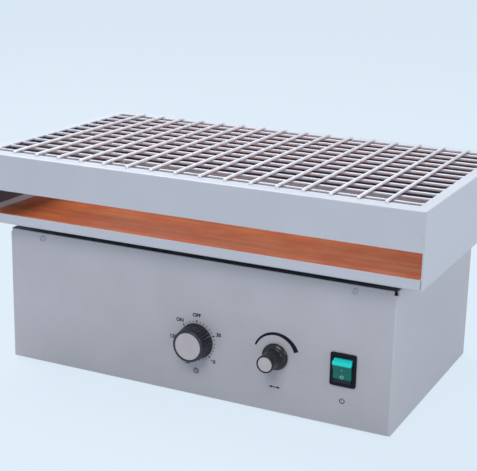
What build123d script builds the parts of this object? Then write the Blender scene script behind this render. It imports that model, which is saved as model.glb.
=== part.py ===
from build123d import *
import math
import os

os.makedirs("parts", exist_ok=True)

# Laboratory shaker: a wire-grid tray that slides left and right on a sheet-steel housing.
# Millimetres. The front is -Y, right is +X, and z = 0 is the bench under the feet.

# Housing
housing_width = 416.0
housing_depth = 240.0
housing_height = 138.0
foot_gap = 3.0
wall = 1.5
fold_radius = 2.5
housing_flange = 12.0
base_sheet = 2.0
deck_sheet = 2.0
deck_lip = 14.0
deck_corner = 3.5
fit_gap = 0.15
cut_over = 1.0
relief_width = 3.5
relief_height = 4.0

# Tray
tray_width = 470.0
tray_depth = 278.0
tray_gap = 10.0
rim_height = 10.0
slot_height = 24.0
band_height = 36.5
tray_wall = 1.5
side_flange = 11.0
band_flange = 16.5
mitre_overrun = 1.2
band_hem = 6.0
pan_sheet = 1.2
pan_side_gap = 0.5
pan_bend = 1.8
rim_slant = 2.0
rim_slant_foot = 2.2
rim_foot_inset = 0.6
board_thickness = 3.5
board_gap = 0.6
edge_round = 0.7

# Grid of wires over the tray
wire = 3.0
long_pitch = 26.0
cross_pitch = 20.4
long_margin = 20.0
cross_margin = 9.0
wire_landing = 5.5
ledge_reach = 3.0
ledge_sheet = 1.5
ledge_upright = 8.0

# Slide under the deck
stroke = 20.0
guide_rod = 12.0
guide_inset = 33.5
guide_drop = 18.0
running_gap = 0.05
bracket_inset = 56.5
bracket_length = 16.0
bracket_width = 28.0
bracket_skirt = 12.0
slider_length = 30.0
slider_width = 28.0
slider_height = 26.0
slider_clearance = 7.0
bush_wall = 2.0
post_diameter = 10.0
post_gap = 2.0
crossbar_width = 20.0
crossbar_height = 12.0
crossbar_rise = 2.0
wrist_pin_diameter = 8.0

# Crank, belt drive and motor
rod_thickness = 8.0
rod_drop = 3.0
small_eye = 11.0
big_eye = 14.0
crank_bolt_diameter = 10.0
open_pivot_gap = 0.3
crank_disc_thickness = 2.7
crank_disc_radius = 22.0
pulley_width = 12.0
big_pitch_radius = 52.0
small_pitch_radius = 16.0
belt_thickness = 4.0
belt_width = 7.0
belt_clearance = 0.3
motor_x = 100.0
motor_radius = 34.0
motor_boss_radius = 11.0
motor_shaft_diameter = 8.0
motor_top_gap = 5.5
motor_plate = 3.0
spindle_diameter = 15.0
bearing_radius = 16.0
bearing_height = 9.0
pillar_radius = 22.0
pillar_flange_radius = 36.0
pillar_flange = 5.0
pillar_gap = 2.0

# Controls on the front, measured from the right edge of the housing
control_height = 55.7
timer_inset = 199.2
speed_inset = 115.6
switch_inset = 47.5
timer_base_radius = 18.0
timer_face_radius = 15.7
timer_disc_radius = 13.4
timer_length = 18.0
timer_flutes = 32
timer_shaft_diameter = 6.0
speed_skirt_radius = 13.0
speed_barrel_radius = 8.9
speed_cap_radius = 7.0
speed_length = 23.5
speed_flutes = 24
speed_shaft_diameter = 6.0
knob_lift = 0.6
switch_width = 25.3
switch_height = 32.0
switch_bezel = 2.2
switch_body_width = 21.8
switch_body_height = 28.2
switch_body_depth = 22.0
rocker_width = 17.9
rocker_half = 10.6
rocker_crown = 2.2
rocker_gap = 0.35
rocker_swing_gap = 1.5
rocker_tilt = 11.0

# Heights and places that follow from the sizes above
base_z = foot_gap
deck_top = base_z + housing_height
deck_under = deck_top - deck_sheet
half_width = housing_width / 2
half_depth = housing_depth / 2
inner_x = half_width - wall
front_y = -half_depth
inner_front = front_y + wall
rear_y = half_depth
inner_rear = rear_y - wall
plate_z = base_z + wall
floor_z = plate_z + base_sheet

tray_z = deck_top + tray_gap
rim_top = tray_z + rim_height
band_z = rim_top + slot_height
tray_top = band_z + band_height
tray_half_x = tray_width / 2
tray_half_y = tray_depth / 2
tray_inner_x = tray_half_x - tray_wall
tray_inner_y = tray_half_y - tray_wall
board_top = tray_z + pan_sheet + board_thickness

travel = stroke / 2
guide_z = deck_under - guide_drop
guide_y = half_depth - wall - guide_inset
bracket_x = inner_x - bracket_inset
slider_x = bracket_x - bracket_length / 2 - slider_clearance - travel - slider_length / 2
slider_bottom = guide_z - slider_height / 2
slider_top = guide_z + slider_height / 2
crossbar_z = slider_bottom + crossbar_rise
wrist_x = -slider_x
crank_pin_y = travel
rod_top = crossbar_z - rod_drop
rod_bottom = rod_top - rod_thickness
rod_length = math.hypot(wrist_x, crank_pin_y)
crank_top = rod_bottom - open_pivot_gap
pulley_top = crank_top - crank_disc_thickness
pulley_bottom = pulley_top - pulley_width
belt_z = pulley_bottom + pulley_width / 2
pillar_top = pulley_bottom - pillar_gap
motor_z = floor_z + motor_plate
motor_top = pulley_bottom - motor_top_gap

control_z = base_z + control_height
timer_x = half_width - timer_inset
speed_x = half_width - speed_inset
switch_x = half_width - switch_inset

corners = [(sx, sy) for sx in (-1, 1) for sy in (-1, 1)]


def save(builder, name):
    """Label a finished piece and write it to its own file."""
    builder.part.label = name
    export_step(builder.part, "parts/" + name + ".step")


head_taper = 12


def screws(seats, head_radius, head_height, shank_radius):
    """Round-headed screws. Each seat is the plane under a head, with the length below it."""
    with BuildPart() as group:
        for seat, shank_length in seats:
            with BuildSketch(seat):
                Circle(head_radius)
            extrude(amount=head_height, taper=head_taper)
            with BuildSketch(seat):
                Circle(shank_radius)
            extrude(amount=-shank_length)
    return group


def upward_seats(places, height):
    """A level plane at each place, facing up."""
    return [Plane(origin=(x, y, height), z_dir=(0, 0, 1)) for x, y in places]


def downward_seats(places, height):
    """A level plane at each place, facing down."""
    return [Plane(origin=(x, y, height), z_dir=(0, 0, -1)) for x, y in places]


def front_seat(x, z, y=front_y):
    """A plane on the front panel, facing the user, with its own x to the right."""
    return Plane(origin=(x, y, z), x_dir=(1, 0, 0), z_dir=(0, -1, 0))


# Housing wrap: front and both sides folded from one sheet, with flanges at the rear and bottom
deck_screw_drop = 6.0
deck_screw_inset = 40.0
deck_screw_z = deck_top - deck_screw_drop
deck_screw_x = half_width - deck_screw_inset
m3_hole = 1.6
timer_bush_radius = 5.0
speed_bush_radius = 3.5
wrap_rear = rear_y - wall
panel_screw_x = inner_x - housing_flange / 2
panel_screw_rise = 14.0
panel_screw_drop = 22.0
panel_screw_z = [
    base_z + panel_screw_rise,
    base_z + housing_height / 2,
    deck_top - panel_screw_drop,
]
panel_screw_places = [(s * panel_screw_x, z) for s in (-1, 1) for z in panel_screw_z]
base_screw_inset = 50.0
base_screw_y = half_depth - base_screw_inset
base_screw_places = [(sx * panel_screw_x, sy * base_screw_y) for sx, sy in corners]

with BuildPart() as housing_wrap:
    with BuildSketch(Plane.XY.offset(base_z)):
        with Locations((0, (front_y + wrap_rear) / 2)):
            Rectangle(housing_width, wrap_rear - front_y)
        fillet(vertices().group_by(Axis.Y)[0], fold_radius)
    extrude(amount=housing_height)
    with BuildSketch(Plane.XY.offset(plate_z)):
        with Locations((0, (inner_front + wrap_rear - wall) / 2)):
            Rectangle(2 * inner_x, wrap_rear - wall - inner_front)
        fillet(vertices().group_by(Axis.Y)[0], fold_radius - wall)
    extrude(amount=housing_height, mode=Mode.SUBTRACT)
    # Opening left between the bottom flanges, and open back between the rear flanges
    with BuildSketch(Plane.XY.offset(base_z - cut_over)):
        with Locations((0, inner_front + housing_flange)):
            Rectangle(2 * (inner_x - housing_flange), housing_depth, align=(Align.CENTER, Align.MIN))
    extrude(amount=wall + cut_over, mode=Mode.SUBTRACT)
    with BuildSketch(Plane.XY.offset(base_z - cut_over)):
        with Locations((0, wrap_rear)):
            Rectangle(2 * (inner_x - housing_flange), wall * 4)
    extrude(amount=housing_height + 2 * cut_over, mode=Mode.SUBTRACT)
    # Notches that let the sheet fold at the top corners
    with Locations(*[(sx * half_width, front_y, deck_top) for sx in (-1, 1)]):
        Box(2 * relief_width, 2 * relief_width, 2 * relief_height, mode=Mode.SUBTRACT)
    # Openings for the controls and for the deck's front screws
    with Locations(front_seat(timer_x, control_z)):
        Hole(timer_bush_radius + running_gap, depth=wall * 3)
    with Locations(front_seat(speed_x, control_z)):
        Hole(speed_bush_radius + running_gap, depth=wall * 3)
    with Locations(*[front_seat(sx * deck_screw_x, deck_screw_z) for sx in (-1, 1)]):
        Hole(m3_hole, depth=wall * 3)
    with BuildSketch(front_seat(switch_x, control_z)):
        Rectangle(switch_body_width + 2 * fit_gap, switch_body_height + 2 * fit_gap)
    extrude(amount=-wall * 2, mode=Mode.SUBTRACT)
    # Screw holes in the rear and bottom flanges
    with Locations(*[front_seat(x, z, wrap_rear) for x, z in panel_screw_places]):
        Cylinder(m3_hole, wall * 4, mode=Mode.SUBTRACT)
    with Locations(*[(x, y, base_z) for x, y in base_screw_places]):
        Cylinder(m3_hole, wall * 4, mode=Mode.SUBTRACT)
save(housing_wrap, "housing_wrap")


# Rear panel: a flat cover over the open back, with cooling slots and the mains openings
inlet_inset = 58.0
inlet_rise = 42.0
inlet_x = half_width - inlet_inset
inlet_z = base_z + inlet_rise
inlet_width = 27.0
inlet_height = 19.5
inlet_flange_width = 50.0
inlet_flange_height = 24.0
inlet_flange = 3.0
inlet_screw_x = 20.0
fuse_spacing = 52.0
fuse_x = inlet_x - fuse_spacing
fuse_radius = 6.2
vent_width = 4.0
vent_length = 38.0
vent_pitch = 11.0
vent_count = 9
base_vent_count = 5
vent_inset = 98.0
vent_rise = 66.0
vent_x = -half_width + vent_inset
vent_z = base_z + vent_rise
panel_margin = 1.0
panel_round = 1.5

with BuildPart() as rear_panel:
    with BuildSketch(Plane(origin=(0, inner_rear, base_z), x_dir=(-1, 0, 0), z_dir=(0, 1, 0))):
        Rectangle(
            housing_width - 2 * panel_margin,
            housing_height - panel_margin,
            align=(Align.CENTER, Align.MIN),
        )
        fillet(vertices(), panel_round)
    extrude(amount=wall)
    rear_face = Plane(origin=(0, rear_y, 0), x_dir=(-1, 0, 0), z_dir=(0, 1, 0))
    with BuildSketch(rear_face):
        with Locations((-inlet_x, inlet_z)):
            Rectangle(inlet_width + 2 * fit_gap, inlet_height + 2 * fit_gap)
        with Locations(*[(-inlet_x + s * inlet_screw_x, inlet_z) for s in (-1, 1)]):
            Circle(m3_hole)
        with Locations((-fuse_x, inlet_z)):
            Circle(fuse_radius + fit_gap)
        with Locations((-vent_x, vent_z)):
            with GridLocations(vent_pitch, 1, vent_count, 1):
                SlotOverall(vent_length, vent_width, rotation=90)
        with Locations(*panel_screw_places):
            Circle(m3_hole)
    extrude(amount=-wall * 2, mode=Mode.SUBTRACT)
save(rear_panel, "rear_panel")


# Base plate: rests on the bottom flanges and carries the drive
notch = housing_flange + 2 * fit_gap
notch_depth = wall + 2 * fit_gap
foot_inset_x = 32.0
foot_inset_y = 30.0
foot_x = half_width - foot_inset_x
foot_y = half_depth - foot_inset_y
pillar_screw_circle = 29.0
motor_screw_inset = 1.0
motor_screw_spread = motor_radius - motor_screw_inset
m4_hole = 2.1
board_inset = 80.0
board_x = -half_width + board_inset
board_y = 30.0
board_length = 90.0
board_width = 70.0
board_screw_inset = 5.0
board_screw_x = board_length / 2 - board_screw_inset
board_screw_y = board_width / 2 - board_screw_inset
foot_places = [(sx * foot_x, sy * foot_y) for sx, sy in corners]
spacer_places = [(board_x + sx * board_screw_x, board_y + sy * board_screw_y) for sx, sy in corners]
pillar_reach = pillar_screw_circle * math.sqrt(0.5)
pillar_screw_places = [(sx * pillar_reach, sy * pillar_reach) for sx, sy in corners]
motor_screw_places = [
    (motor_x + sx * motor_screw_spread, sy * motor_screw_spread) for sx, sy in corners
]

with BuildPart() as base_plate:
    with BuildSketch(Plane.XY.offset(plate_z)):
        with Locations((0, (inner_front + inner_rear) / 2)):
            Rectangle(2 * (inner_x - fit_gap), inner_rear - inner_front - 2 * fit_gap)
        fillet(vertices().group_by(Axis.Y)[0], fold_radius - wall)
        with Locations(*[(sx * inner_x, inner_rear) for sx in (-1, 1)]):
            Rectangle(2 * notch, 2 * notch_depth, mode=Mode.SUBTRACT)
        with Locations(*foot_places, *pillar_screw_places, *motor_screw_places):
            Circle(m4_hole, mode=Mode.SUBTRACT)
        with Locations(*base_screw_places, *spacer_places):
            Circle(m3_hole, mode=Mode.SUBTRACT)
        with Locations((board_x, board_y)):
            with GridLocations(1, vent_pitch, 1, base_vent_count):
                SlotOverall(vent_length, vent_width, mode=Mode.SUBTRACT)
    extrude(amount=base_sheet)
save(base_plate, "base_plate")


# Rubber feet: tapered pads with a recess for the screw
foot_radius = 12.0
foot_recess_radius = 5.5
foot_height = plate_z
foot_web = 1.8
foot_taper = 14

with BuildPart() as rubber_feet:
    with BuildSketch(Plane.XY.offset(plate_z)):
        with Locations(*foot_places):
            Circle(foot_radius)
    extrude(amount=-foot_height, taper=foot_taper)
    with BuildSketch(Plane.XY.offset(plate_z - foot_web)):
        with Locations(*foot_places):
            Circle(foot_recess_radius)
    extrude(amount=-foot_height, mode=Mode.SUBTRACT)
    with BuildSketch(Plane.XY.offset(plate_z)):
        with Locations(*foot_places):
            Circle(m4_hole)
    extrude(amount=-foot_height, mode=Mode.SUBTRACT)
save(rubber_feet, "rubber_feet")


# Deck plate: a shallow lid set down between the walls, with a slot for each tray post
slot_half = travel + post_diameter / 2 + post_gap
deck_inner_x = inner_x - fit_gap
deck_front = inner_front + fit_gap
deck_rear = inner_rear - fit_gap
slot_width = post_diameter + 2 * post_gap
slider_places = [(sx * slider_x, sy * guide_y) for sx, sy in corners]
bracket_places = [(sx * bracket_x, sy * guide_y) for sx, sy in corners]
bracket_screw_y = 8.0
bracket_screw_places = [(x, y + s * bracket_screw_y) for x, y in bracket_places for s in (-1, 1)]

with BuildPart() as deck_plate:
    with BuildSketch(Plane.XY.offset(deck_top)):
        with Locations((0, (deck_front + deck_rear) / 2)):
            Rectangle(2 * deck_inner_x, deck_rear - deck_front)
        with Locations(*[(sx * inner_x, inner_rear) for sx in (-1, 1)]):
            Rectangle(2 * notch, 2 * notch_depth, mode=Mode.SUBTRACT)
    extrude(amount=-deck_lip)
    with BuildSketch(Plane.XY.offset(deck_under)):
        with Locations((0, (deck_front + deck_rear) / 2)):
            Rectangle(2 * (deck_inner_x - notch - wall), deck_rear - deck_front - 2 * wall)
        with Locations((0, (deck_front + deck_rear - notch_depth) / 2)):
            Rectangle(2 * (deck_inner_x - wall), deck_rear - deck_front - 2 * wall - notch_depth)
    extrude(amount=-deck_lip, mode=Mode.SUBTRACT)
    with BuildSketch(Plane.XY.offset(deck_top)):
        with Locations(*slider_places):
            SlotOverall(2 * slot_half, slot_width)
        with Locations(*bracket_screw_places):
            Circle(m4_hole)
    extrude(amount=-deck_sheet, mode=Mode.SUBTRACT)
    # Front corners cut back, so that the lips fold and the notches beside them stay open
    with BuildSketch(Plane.XY.offset(deck_top)):
        with Locations(*[(sx * deck_inner_x, deck_front) for sx in (-1, 1)]):
            Rectangle(2 * deck_corner, 2 * deck_corner)
    extrude(amount=-deck_lip, mode=Mode.SUBTRACT)
    with Locations(*[front_seat(sx * deck_screw_x, deck_screw_z, deck_front) for sx in (-1, 1)]):
        Hole(m3_hole, depth=wall * 2)
save(deck_plate, "deck_plate")

# Small screws of the housing: two on the front, six on the rear, two on the mains inlet,
# four under the base, and one at each end of the control board's spacers
spacer_height = 8.0
board_sheet = 1.6
board_z = floor_z + spacer_height
m3_length = 5.5
m3_head_radius = 2.5
m3_head_height = 1.4
front_seats = [front_seat(sx * deck_screw_x, deck_screw_z) for sx in (-1, 1)]
rear_seats = [Plane(origin=(x, rear_y, z), z_dir=(0, 1, 0)) for x, z in panel_screw_places]
inlet_seats = [
    Plane(origin=(inlet_x + s * inlet_screw_x, rear_y + inlet_flange, inlet_z), z_dir=(0, 1, 0))
    for s in (-1, 1)
]
base_seats = downward_seats(base_screw_places, base_z) + downward_seats(spacer_places, plate_z)
board_seats = upward_seats(spacer_places, board_z + board_sheet)
m3_seats = [
    (seat, m3_length) for seat in front_seats + rear_seats + inlet_seats + base_seats + board_seats
]

panel_screws = screws(m3_seats, m3_head_radius, m3_head_height, m3_hole - running_gap)
save(panel_screws, "panel_screws")


# Guide rods and the brackets that hang them under the deck
rod_overhang = 2.0
guide_half = bracket_x + bracket_length / 2 + rod_overhang
rod_chamfer = 1.0
m4_tap_depth = 9.0
m4_tip_gap = 1.0

for side, sy in (("front", -1), ("rear", 1)):
    with BuildPart() as rod:
        with BuildSketch(Plane(origin=(-guide_half, sy * guide_y, guide_z), z_dir=(1, 0, 0))):
            Circle(guide_rod / 2)
        extrude(amount=2 * guide_half)
        chamfer(edges(), rod_chamfer)
    save(rod, "guide_rod_" + side)

with BuildPart() as rod_brackets:
    for x, y in bracket_places:
        block = Plane(origin=(x - bracket_length / 2, y, guide_z), x_dir=(0, 1, 0), z_dir=(1, 0, 0))
        with BuildSketch(block):
            Circle(bracket_skirt)
            Rectangle(bracket_width, deck_under - guide_z, align=(Align.CENTER, Align.MIN))
            Circle(guide_rod / 2 + running_gap, mode=Mode.SUBTRACT)
        extrude(amount=bracket_length)
    with BuildSketch(Plane.XY.offset(deck_under)):
        with Locations(*bracket_screw_places):
            Circle(m4_hole)
    extrude(amount=-m4_tap_depth, mode=Mode.SUBTRACT)
save(rod_brackets, "rod_brackets")

# Larger screws: through the deck into the brackets, and through the base, pillar, motor and feet
m4_head_radius = 3.8
m4_head_height = 2.4
foot_screw_overrun = 2.0
bracket_screw_length = deck_sheet + m4_tap_depth - m4_tip_gap
foot_screw_length = foot_web + base_sheet + foot_screw_overrun
m4_seats = [(seat, bracket_screw_length) for seat in upward_seats(bracket_screw_places, deck_top)]
m4_seats += [(seat, foot_screw_length) for seat in downward_seats(foot_places, plate_z - foot_web)]
m4_seats += [
    (seat, pillar_flange + base_sheet)
    for seat in upward_seats(pillar_screw_places, floor_z + pillar_flange)
]
m4_seats += [
    (seat, motor_plate + base_sheet) for seat in upward_seats(motor_screw_places, motor_z)
]

frame_screws = screws(m4_seats, m4_head_radius, m4_head_height, m4_hole - running_gap)
save(frame_screws, "frame_screws")


# Sliders: bored blocks with bronze bushes, one under each corner of the tray
bush_radius = guide_rod / 2 + running_gap + bush_wall
press_gap = 0.02
slider_bore = bush_radius + press_gap
slider_round = 3.0
post_screw_radius = 2.5
post_screw_depth = 10.0

for side, sy in (("front", -1), ("rear", 1)):
    for end, sx in (("left", -1), ("right", 1)):
        block = Plane(
            origin=(sx * slider_x - slider_length / 2, sy * guide_y, guide_z),
            x_dir=(0, 1, 0),
            z_dir=(1, 0, 0),
        )
        with BuildPart() as slider:
            with BuildSketch(block):
                Rectangle(slider_width, slider_height)
                fillet(vertices(), slider_round)
                Circle(slider_bore, mode=Mode.SUBTRACT)
            extrude(amount=slider_length)
        save(slider, "slider_" + side + "_" + end)

with BuildPart() as slider_bushes:
    for sx, sy in corners:
        seat = Plane(origin=(sx * slider_x - slider_length / 2, sy * guide_y, guide_z), z_dir=(1, 0, 0))
        with BuildSketch(seat):
            Circle(bush_radius)
            Circle(guide_rod / 2 + running_gap, mode=Mode.SUBTRACT)
        extrude(amount=slider_length)
save(slider_bushes, "slider_bushes")

# Posts that pass through the deck's slots and carry the tray
with BuildPart() as tray_posts:
    with BuildSketch(Plane.XY.offset(slider_top)):
        with Locations(*slider_places):
            Circle(post_diameter / 2)
    extrude(amount=tray_z - slider_top)
    with BuildSketch(Plane.XY.offset(tray_z)):
        with Locations(*slider_places):
            Circle(post_screw_radius)
    extrude(amount=-post_screw_depth, mode=Mode.SUBTRACT)
save(tray_posts, "tray_posts")


# Crossbar between the two left sliders, and the pin that the connecting rod pulls on
crossbar_half = guide_y - slider_width / 2
pin_radius = wrist_pin_diameter / 2
pin_overhang = 4.0
pin_chamfer = 0.8
pin_end = rod_bottom - pin_overhang
crossbar_boss = crossbar_width / 2 + 3.0

with BuildPart() as drive_crossbar:
    with BuildSketch(Plane.XY.offset(crossbar_z)):
        with Locations((wrist_x, 0)):
            Rectangle(crossbar_width, 2 * crossbar_half)
            Circle(crossbar_boss)
            Circle(pin_radius, mode=Mode.SUBTRACT)
    extrude(amount=crossbar_height)
save(drive_crossbar, "drive_crossbar")

with BuildPart() as wrist_pin:
    with BuildSketch(Plane.XY.offset(pin_end)):
        with Locations((wrist_x, 0)):
            Circle(pin_radius)
    extrude(amount=crossbar_z + crossbar_height - pin_end)
    chamfer(edges().group_by(Axis.Z)[0], pin_chamfer)
save(wrist_pin, "wrist_pin")


# Connecting rod: two eyes joined by a waisted web, pocketed on both faces like a small casting
small_bush_radius = pin_radius + running_gap + bush_wall
big_bush_radius = crank_bolt_diameter / 2 + bush_wall
web_pocket = 2.5
web_half_small = 5.0
web_half_big = 7.0
pocket_end_gap = 4.0
pocket_edge = 1.5
bolt_head_radius = 8.5
bolt_head_height = 6.0
bolt_head_sides = 6
rod_plane = Plane(
    origin=(wrist_x, 0, rod_bottom),
    x_dir=(-wrist_x, crank_pin_y, 0),
    z_dir=(0, 0, 1),
)

with BuildPart() as connecting_rod:
    with BuildSketch(rod_plane):
        Circle(small_eye)
        with Locations((rod_length, 0)):
            Circle(big_eye)
        with BuildLine():
            Polyline(
                (0, -web_half_small),
                (rod_length, -web_half_big),
                (rod_length, web_half_big),
                (0, web_half_small),
                close=True,
            )
        make_face()
        Circle(small_bush_radius, mode=Mode.SUBTRACT)
        with Locations((rod_length, 0)):
            Circle(big_bush_radius, mode=Mode.SUBTRACT)
    extrude(amount=rod_thickness)
    for pocket_plane, sense in ((rod_plane.offset(rod_thickness), -1), (rod_plane, 1)):
        with BuildSketch(pocket_plane):
            with Locations((rod_length / 2, 0)):
                SlotOverall(
                    rod_length - small_eye - big_eye - 2 * pocket_end_gap,
                    2 * (web_half_small - pocket_edge),
                )
        extrude(amount=sense * web_pocket, mode=Mode.SUBTRACT)
save(connecting_rod, "connecting_rod")

with BuildPart() as rod_bushes:
    with BuildSketch(rod_plane):
        Circle(small_bush_radius)
        Circle(pin_radius + running_gap, mode=Mode.SUBTRACT)
        with Locations((rod_length, 0)):
            Circle(big_bush_radius)
            Circle(crank_bolt_diameter / 2, mode=Mode.SUBTRACT)
    extrude(amount=rod_thickness)
save(rod_bushes, "rod_bushes")

with BuildPart() as crank_bolt:
    with BuildSketch(rod_plane):
        with Locations((rod_length, 0)):
            Circle(crank_bolt_diameter / 2)
    extrude(amount=rod_thickness)
    with BuildSketch(rod_plane.offset(rod_thickness)):
        with Locations((rod_length, 0)):
            RegularPolygon(bolt_head_radius, bolt_head_sides)
    extrude(amount=bolt_head_height)
save(crank_bolt, "crank_bolt")


# Crank: a grooved pulley with a webbed disc, the throw disc on its face, and its spindle
rim_over_belt = 1.0
groove_flare = 1.0
rim_radius = big_pitch_radius + belt_thickness / 2 + rim_over_belt
groove_floor = big_pitch_radius - belt_thickness / 2 - belt_clearance
groove_half = belt_width / 2 + belt_clearance
hub_radius = 16.0
web_hole_circle = 32.0
web_hole_radius = 9.0
web_holes = 6
web_recess = 3.5
web_edge = 4.0
hub_edge = 2.0
spindle_radius = spindle_diameter / 2
spindle_lift = 3.0
spindle_chamfer = 0.6
spindle_foot = floor_z + pillar_flange + spindle_lift
disc_hole_edge = 4.0
disc_holes = 3
crank_tap_radius = crank_bolt_diameter / 2 - 1.0

with BuildPart() as crank_pulley:
    with BuildSketch(Plane.XY.offset(pulley_bottom)):
        Circle(rim_radius)
        Circle(spindle_radius, mode=Mode.SUBTRACT)
    extrude(amount=pulley_width)
    with BuildSketch(Plane.XZ):
        with BuildLine():
            Polyline(
                (groove_floor, belt_z - groove_half),
                (rim_radius + cut_over, belt_z - groove_half - groove_flare),
                (rim_radius + cut_over, belt_z + groove_half + groove_flare),
                (groove_floor, belt_z + groove_half),
                close=True,
            )
        make_face()
    revolve(axis=Axis.Z, mode=Mode.SUBTRACT)
    with BuildSketch(Plane.XY.offset(pulley_bottom)):
        Circle(groove_floor - web_edge)
        Circle(hub_radius + hub_edge, mode=Mode.SUBTRACT)
    extrude(amount=web_recess, mode=Mode.SUBTRACT)
    with BuildSketch(Plane.XY.offset(pulley_bottom)):
        with PolarLocations(web_hole_circle, web_holes):
            Circle(web_hole_radius)
    extrude(amount=pulley_width, mode=Mode.SUBTRACT)
save(crank_pulley, "crank_pulley")

with BuildPart() as crank_disc:
    with BuildSketch(Plane.XY.offset(pulley_top)):
        Circle(crank_disc_radius)
        with Locations((0, crank_pin_y)):
            Circle(crank_tap_radius, mode=Mode.SUBTRACT)
        with PolarLocations(crank_disc_radius - disc_hole_edge, disc_holes, start_angle=-90):
            Circle(m4_hole, mode=Mode.SUBTRACT)
    extrude(amount=crank_disc_thickness)
save(crank_disc, "crank_disc")

with BuildPart() as spindle:
    with BuildSketch(Plane.XY.offset(spindle_foot)):
        Circle(spindle_radius)
    extrude(amount=pulley_top - spindle_foot)
    chamfer(edges(), spindle_chamfer)
save(spindle, "crank_spindle")


# Bearing pillar on the base plate, with a ball bearing at each end of its bore
with BuildPart() as bearing_pillar:
    with BuildSketch(Plane.XY.offset(floor_z)):
        Circle(pillar_flange_radius)
        with Locations(*pillar_screw_places):
            Circle(m4_hole, mode=Mode.SUBTRACT)
    extrude(amount=pillar_flange)
    with BuildSketch(Plane.XY.offset(floor_z + pillar_flange)):
        Circle(pillar_radius)
    extrude(amount=pillar_top - floor_z - pillar_flange)
    with BuildSketch(Plane.XY.offset(floor_z + pillar_flange)):
        Circle(bearing_radius)
    extrude(amount=pillar_top - floor_z - pillar_flange, mode=Mode.SUBTRACT)
save(bearing_pillar, "bearing_pillar")

with BuildPart() as spindle_bearings:
    for level in (floor_z + pillar_flange, pillar_top - bearing_height):
        with BuildSketch(Plane.XY.offset(level)):
            Circle(bearing_radius)
            Circle(spindle_radius + running_gap, mode=Mode.SUBTRACT)
        extrude(amount=bearing_height)
save(spindle_bearings, "spindle_bearings")


# Motor: a round casing with end shields, on a plate, with its grooved pulley on top
shield_step = 2.5
motor_body_radius = motor_radius - shield_step
shield_height = 11.0
shaft_radius = motor_shaft_diameter / 2
shaft_seat_depth = 12.0
shaft_end_gap = 0.5
shaft_overhang = 2.0
shaft_chamfer = 0.5
shaft_foot = motor_top - shaft_seat_depth
boss_height = 3.0
foot_plate_edge = 6.0
foot_plate_half = motor_radius + foot_plate_edge
foot_plate_round = 8.0

with BuildPart() as motor_bracket:
    with BuildSketch(Plane.XY.offset(floor_z)):
        with Locations((motor_x, 0)):
            RectangleRounded(2 * foot_plate_half, 2 * foot_plate_half, foot_plate_round)
        with Locations(*motor_screw_places):
            Circle(m4_hole, mode=Mode.SUBTRACT)
    extrude(amount=motor_plate)
save(motor_bracket, "motor_bracket")

with BuildPart() as motor:
    with BuildSketch(Plane.XY.offset(motor_z)):
        with Locations((motor_x, 0)):
            Circle(motor_radius)
    extrude(amount=shield_height)
    with BuildSketch(Plane.XY.offset(motor_z + shield_height)):
        with Locations((motor_x, 0)):
            Circle(motor_body_radius)
    extrude(amount=motor_top - motor_z - 2 * shield_height)
    with BuildSketch(Plane.XY.offset(motor_top - shield_height)):
        with Locations((motor_x, 0)):
            Circle(motor_radius)
    extrude(amount=shield_height)
    with BuildSketch(Plane.XY.offset(motor_top)):
        with Locations((motor_x, 0)):
            Circle(motor_boss_radius)
    extrude(amount=boss_height)
    with BuildSketch(Plane.XY.offset(shaft_foot - shaft_end_gap)):
        with Locations((motor_x, 0)):
            Circle(shaft_radius + running_gap)
    extrude(amount=motor_top + boss_height - shaft_foot + cut_over, mode=Mode.SUBTRACT)
save(motor, "motor")

small_groove_flare = 0.8
small_rim_radius = small_pitch_radius + belt_thickness / 2 + rim_over_belt
small_groove_floor = small_pitch_radius - belt_thickness / 2 - belt_clearance

with BuildPart() as motor_shaft:
    with BuildSketch(Plane.XY.offset(shaft_foot)):
        with Locations((motor_x, 0)):
            Circle(shaft_radius)
    extrude(amount=pulley_top + shaft_overhang - shaft_foot)
    chamfer(edges(), shaft_chamfer)
save(motor_shaft, "motor_shaft")

with BuildPart() as motor_pulley:
    with BuildSketch(Plane(origin=(motor_x, 0, 0), x_dir=(1, 0, 0), z_dir=(0, -1, 0))):
        with BuildLine():
            Polyline(
                (shaft_radius, pulley_bottom),
                (small_rim_radius, pulley_bottom),
                (small_rim_radius, belt_z - groove_half - small_groove_flare),
                (small_groove_floor, belt_z - groove_half),
                (small_groove_floor, belt_z + groove_half),
                (small_rim_radius, belt_z + groove_half + small_groove_flare),
                (small_rim_radius, pulley_top),
                (shaft_radius, pulley_top),
                close=True,
            )
        make_face()
    revolve(axis=Axis((motor_x, 0, 0), (0, 0, 1)))
save(motor_pulley, "motor_pulley")


# Drive belt: a flat loop round both grooves, tangent to them
def belt_outline(offset_from_pitch):
    """Both wraps of the belt at one distance from its pitch line, as a closed sketch."""
    with BuildSketch(Plane.XY.offset(belt_z - belt_width / 2)) as outline:
        with BuildSketch(mode=Mode.PRIVATE) as wraps:
            Circle(big_pitch_radius + offset_from_pitch)
            with Locations((motor_x, 0)):
                Circle(small_pitch_radius + offset_from_pitch)
        make_hull(wraps.edges())
    return outline


with BuildPart() as drive_belt:
    extrude(belt_outline(belt_thickness / 2).sketch, amount=belt_width)
    extrude(belt_outline(-belt_thickness / 2).sketch, amount=belt_width, mode=Mode.SUBTRACT)
save(drive_belt, "drive_belt")


# Speed control board on spacers: heat sink, two capacitors and a row of terminals
sink_fins = 6
sink_pitch = 5.0
sink_fin = 1.6
sink_depth = 24.0
sink_base = 3.0
sink_height = 20.0
sink_place = (board_x - 22.0, board_y + 8.0)
capacitor_radius = 8.0
capacitor_height = 24.0
capacitor_places = [(board_x + 18.0, board_y + 14.0), (board_x + 18.0, board_y - 10.0)]
terminal_length = 44.0
terminal_width = 9.0
terminal_height = 10.0
terminal_place = (board_x - 10.0, board_y - 24.0)

spacer_radius = 4.0
hexagon = 6

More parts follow.
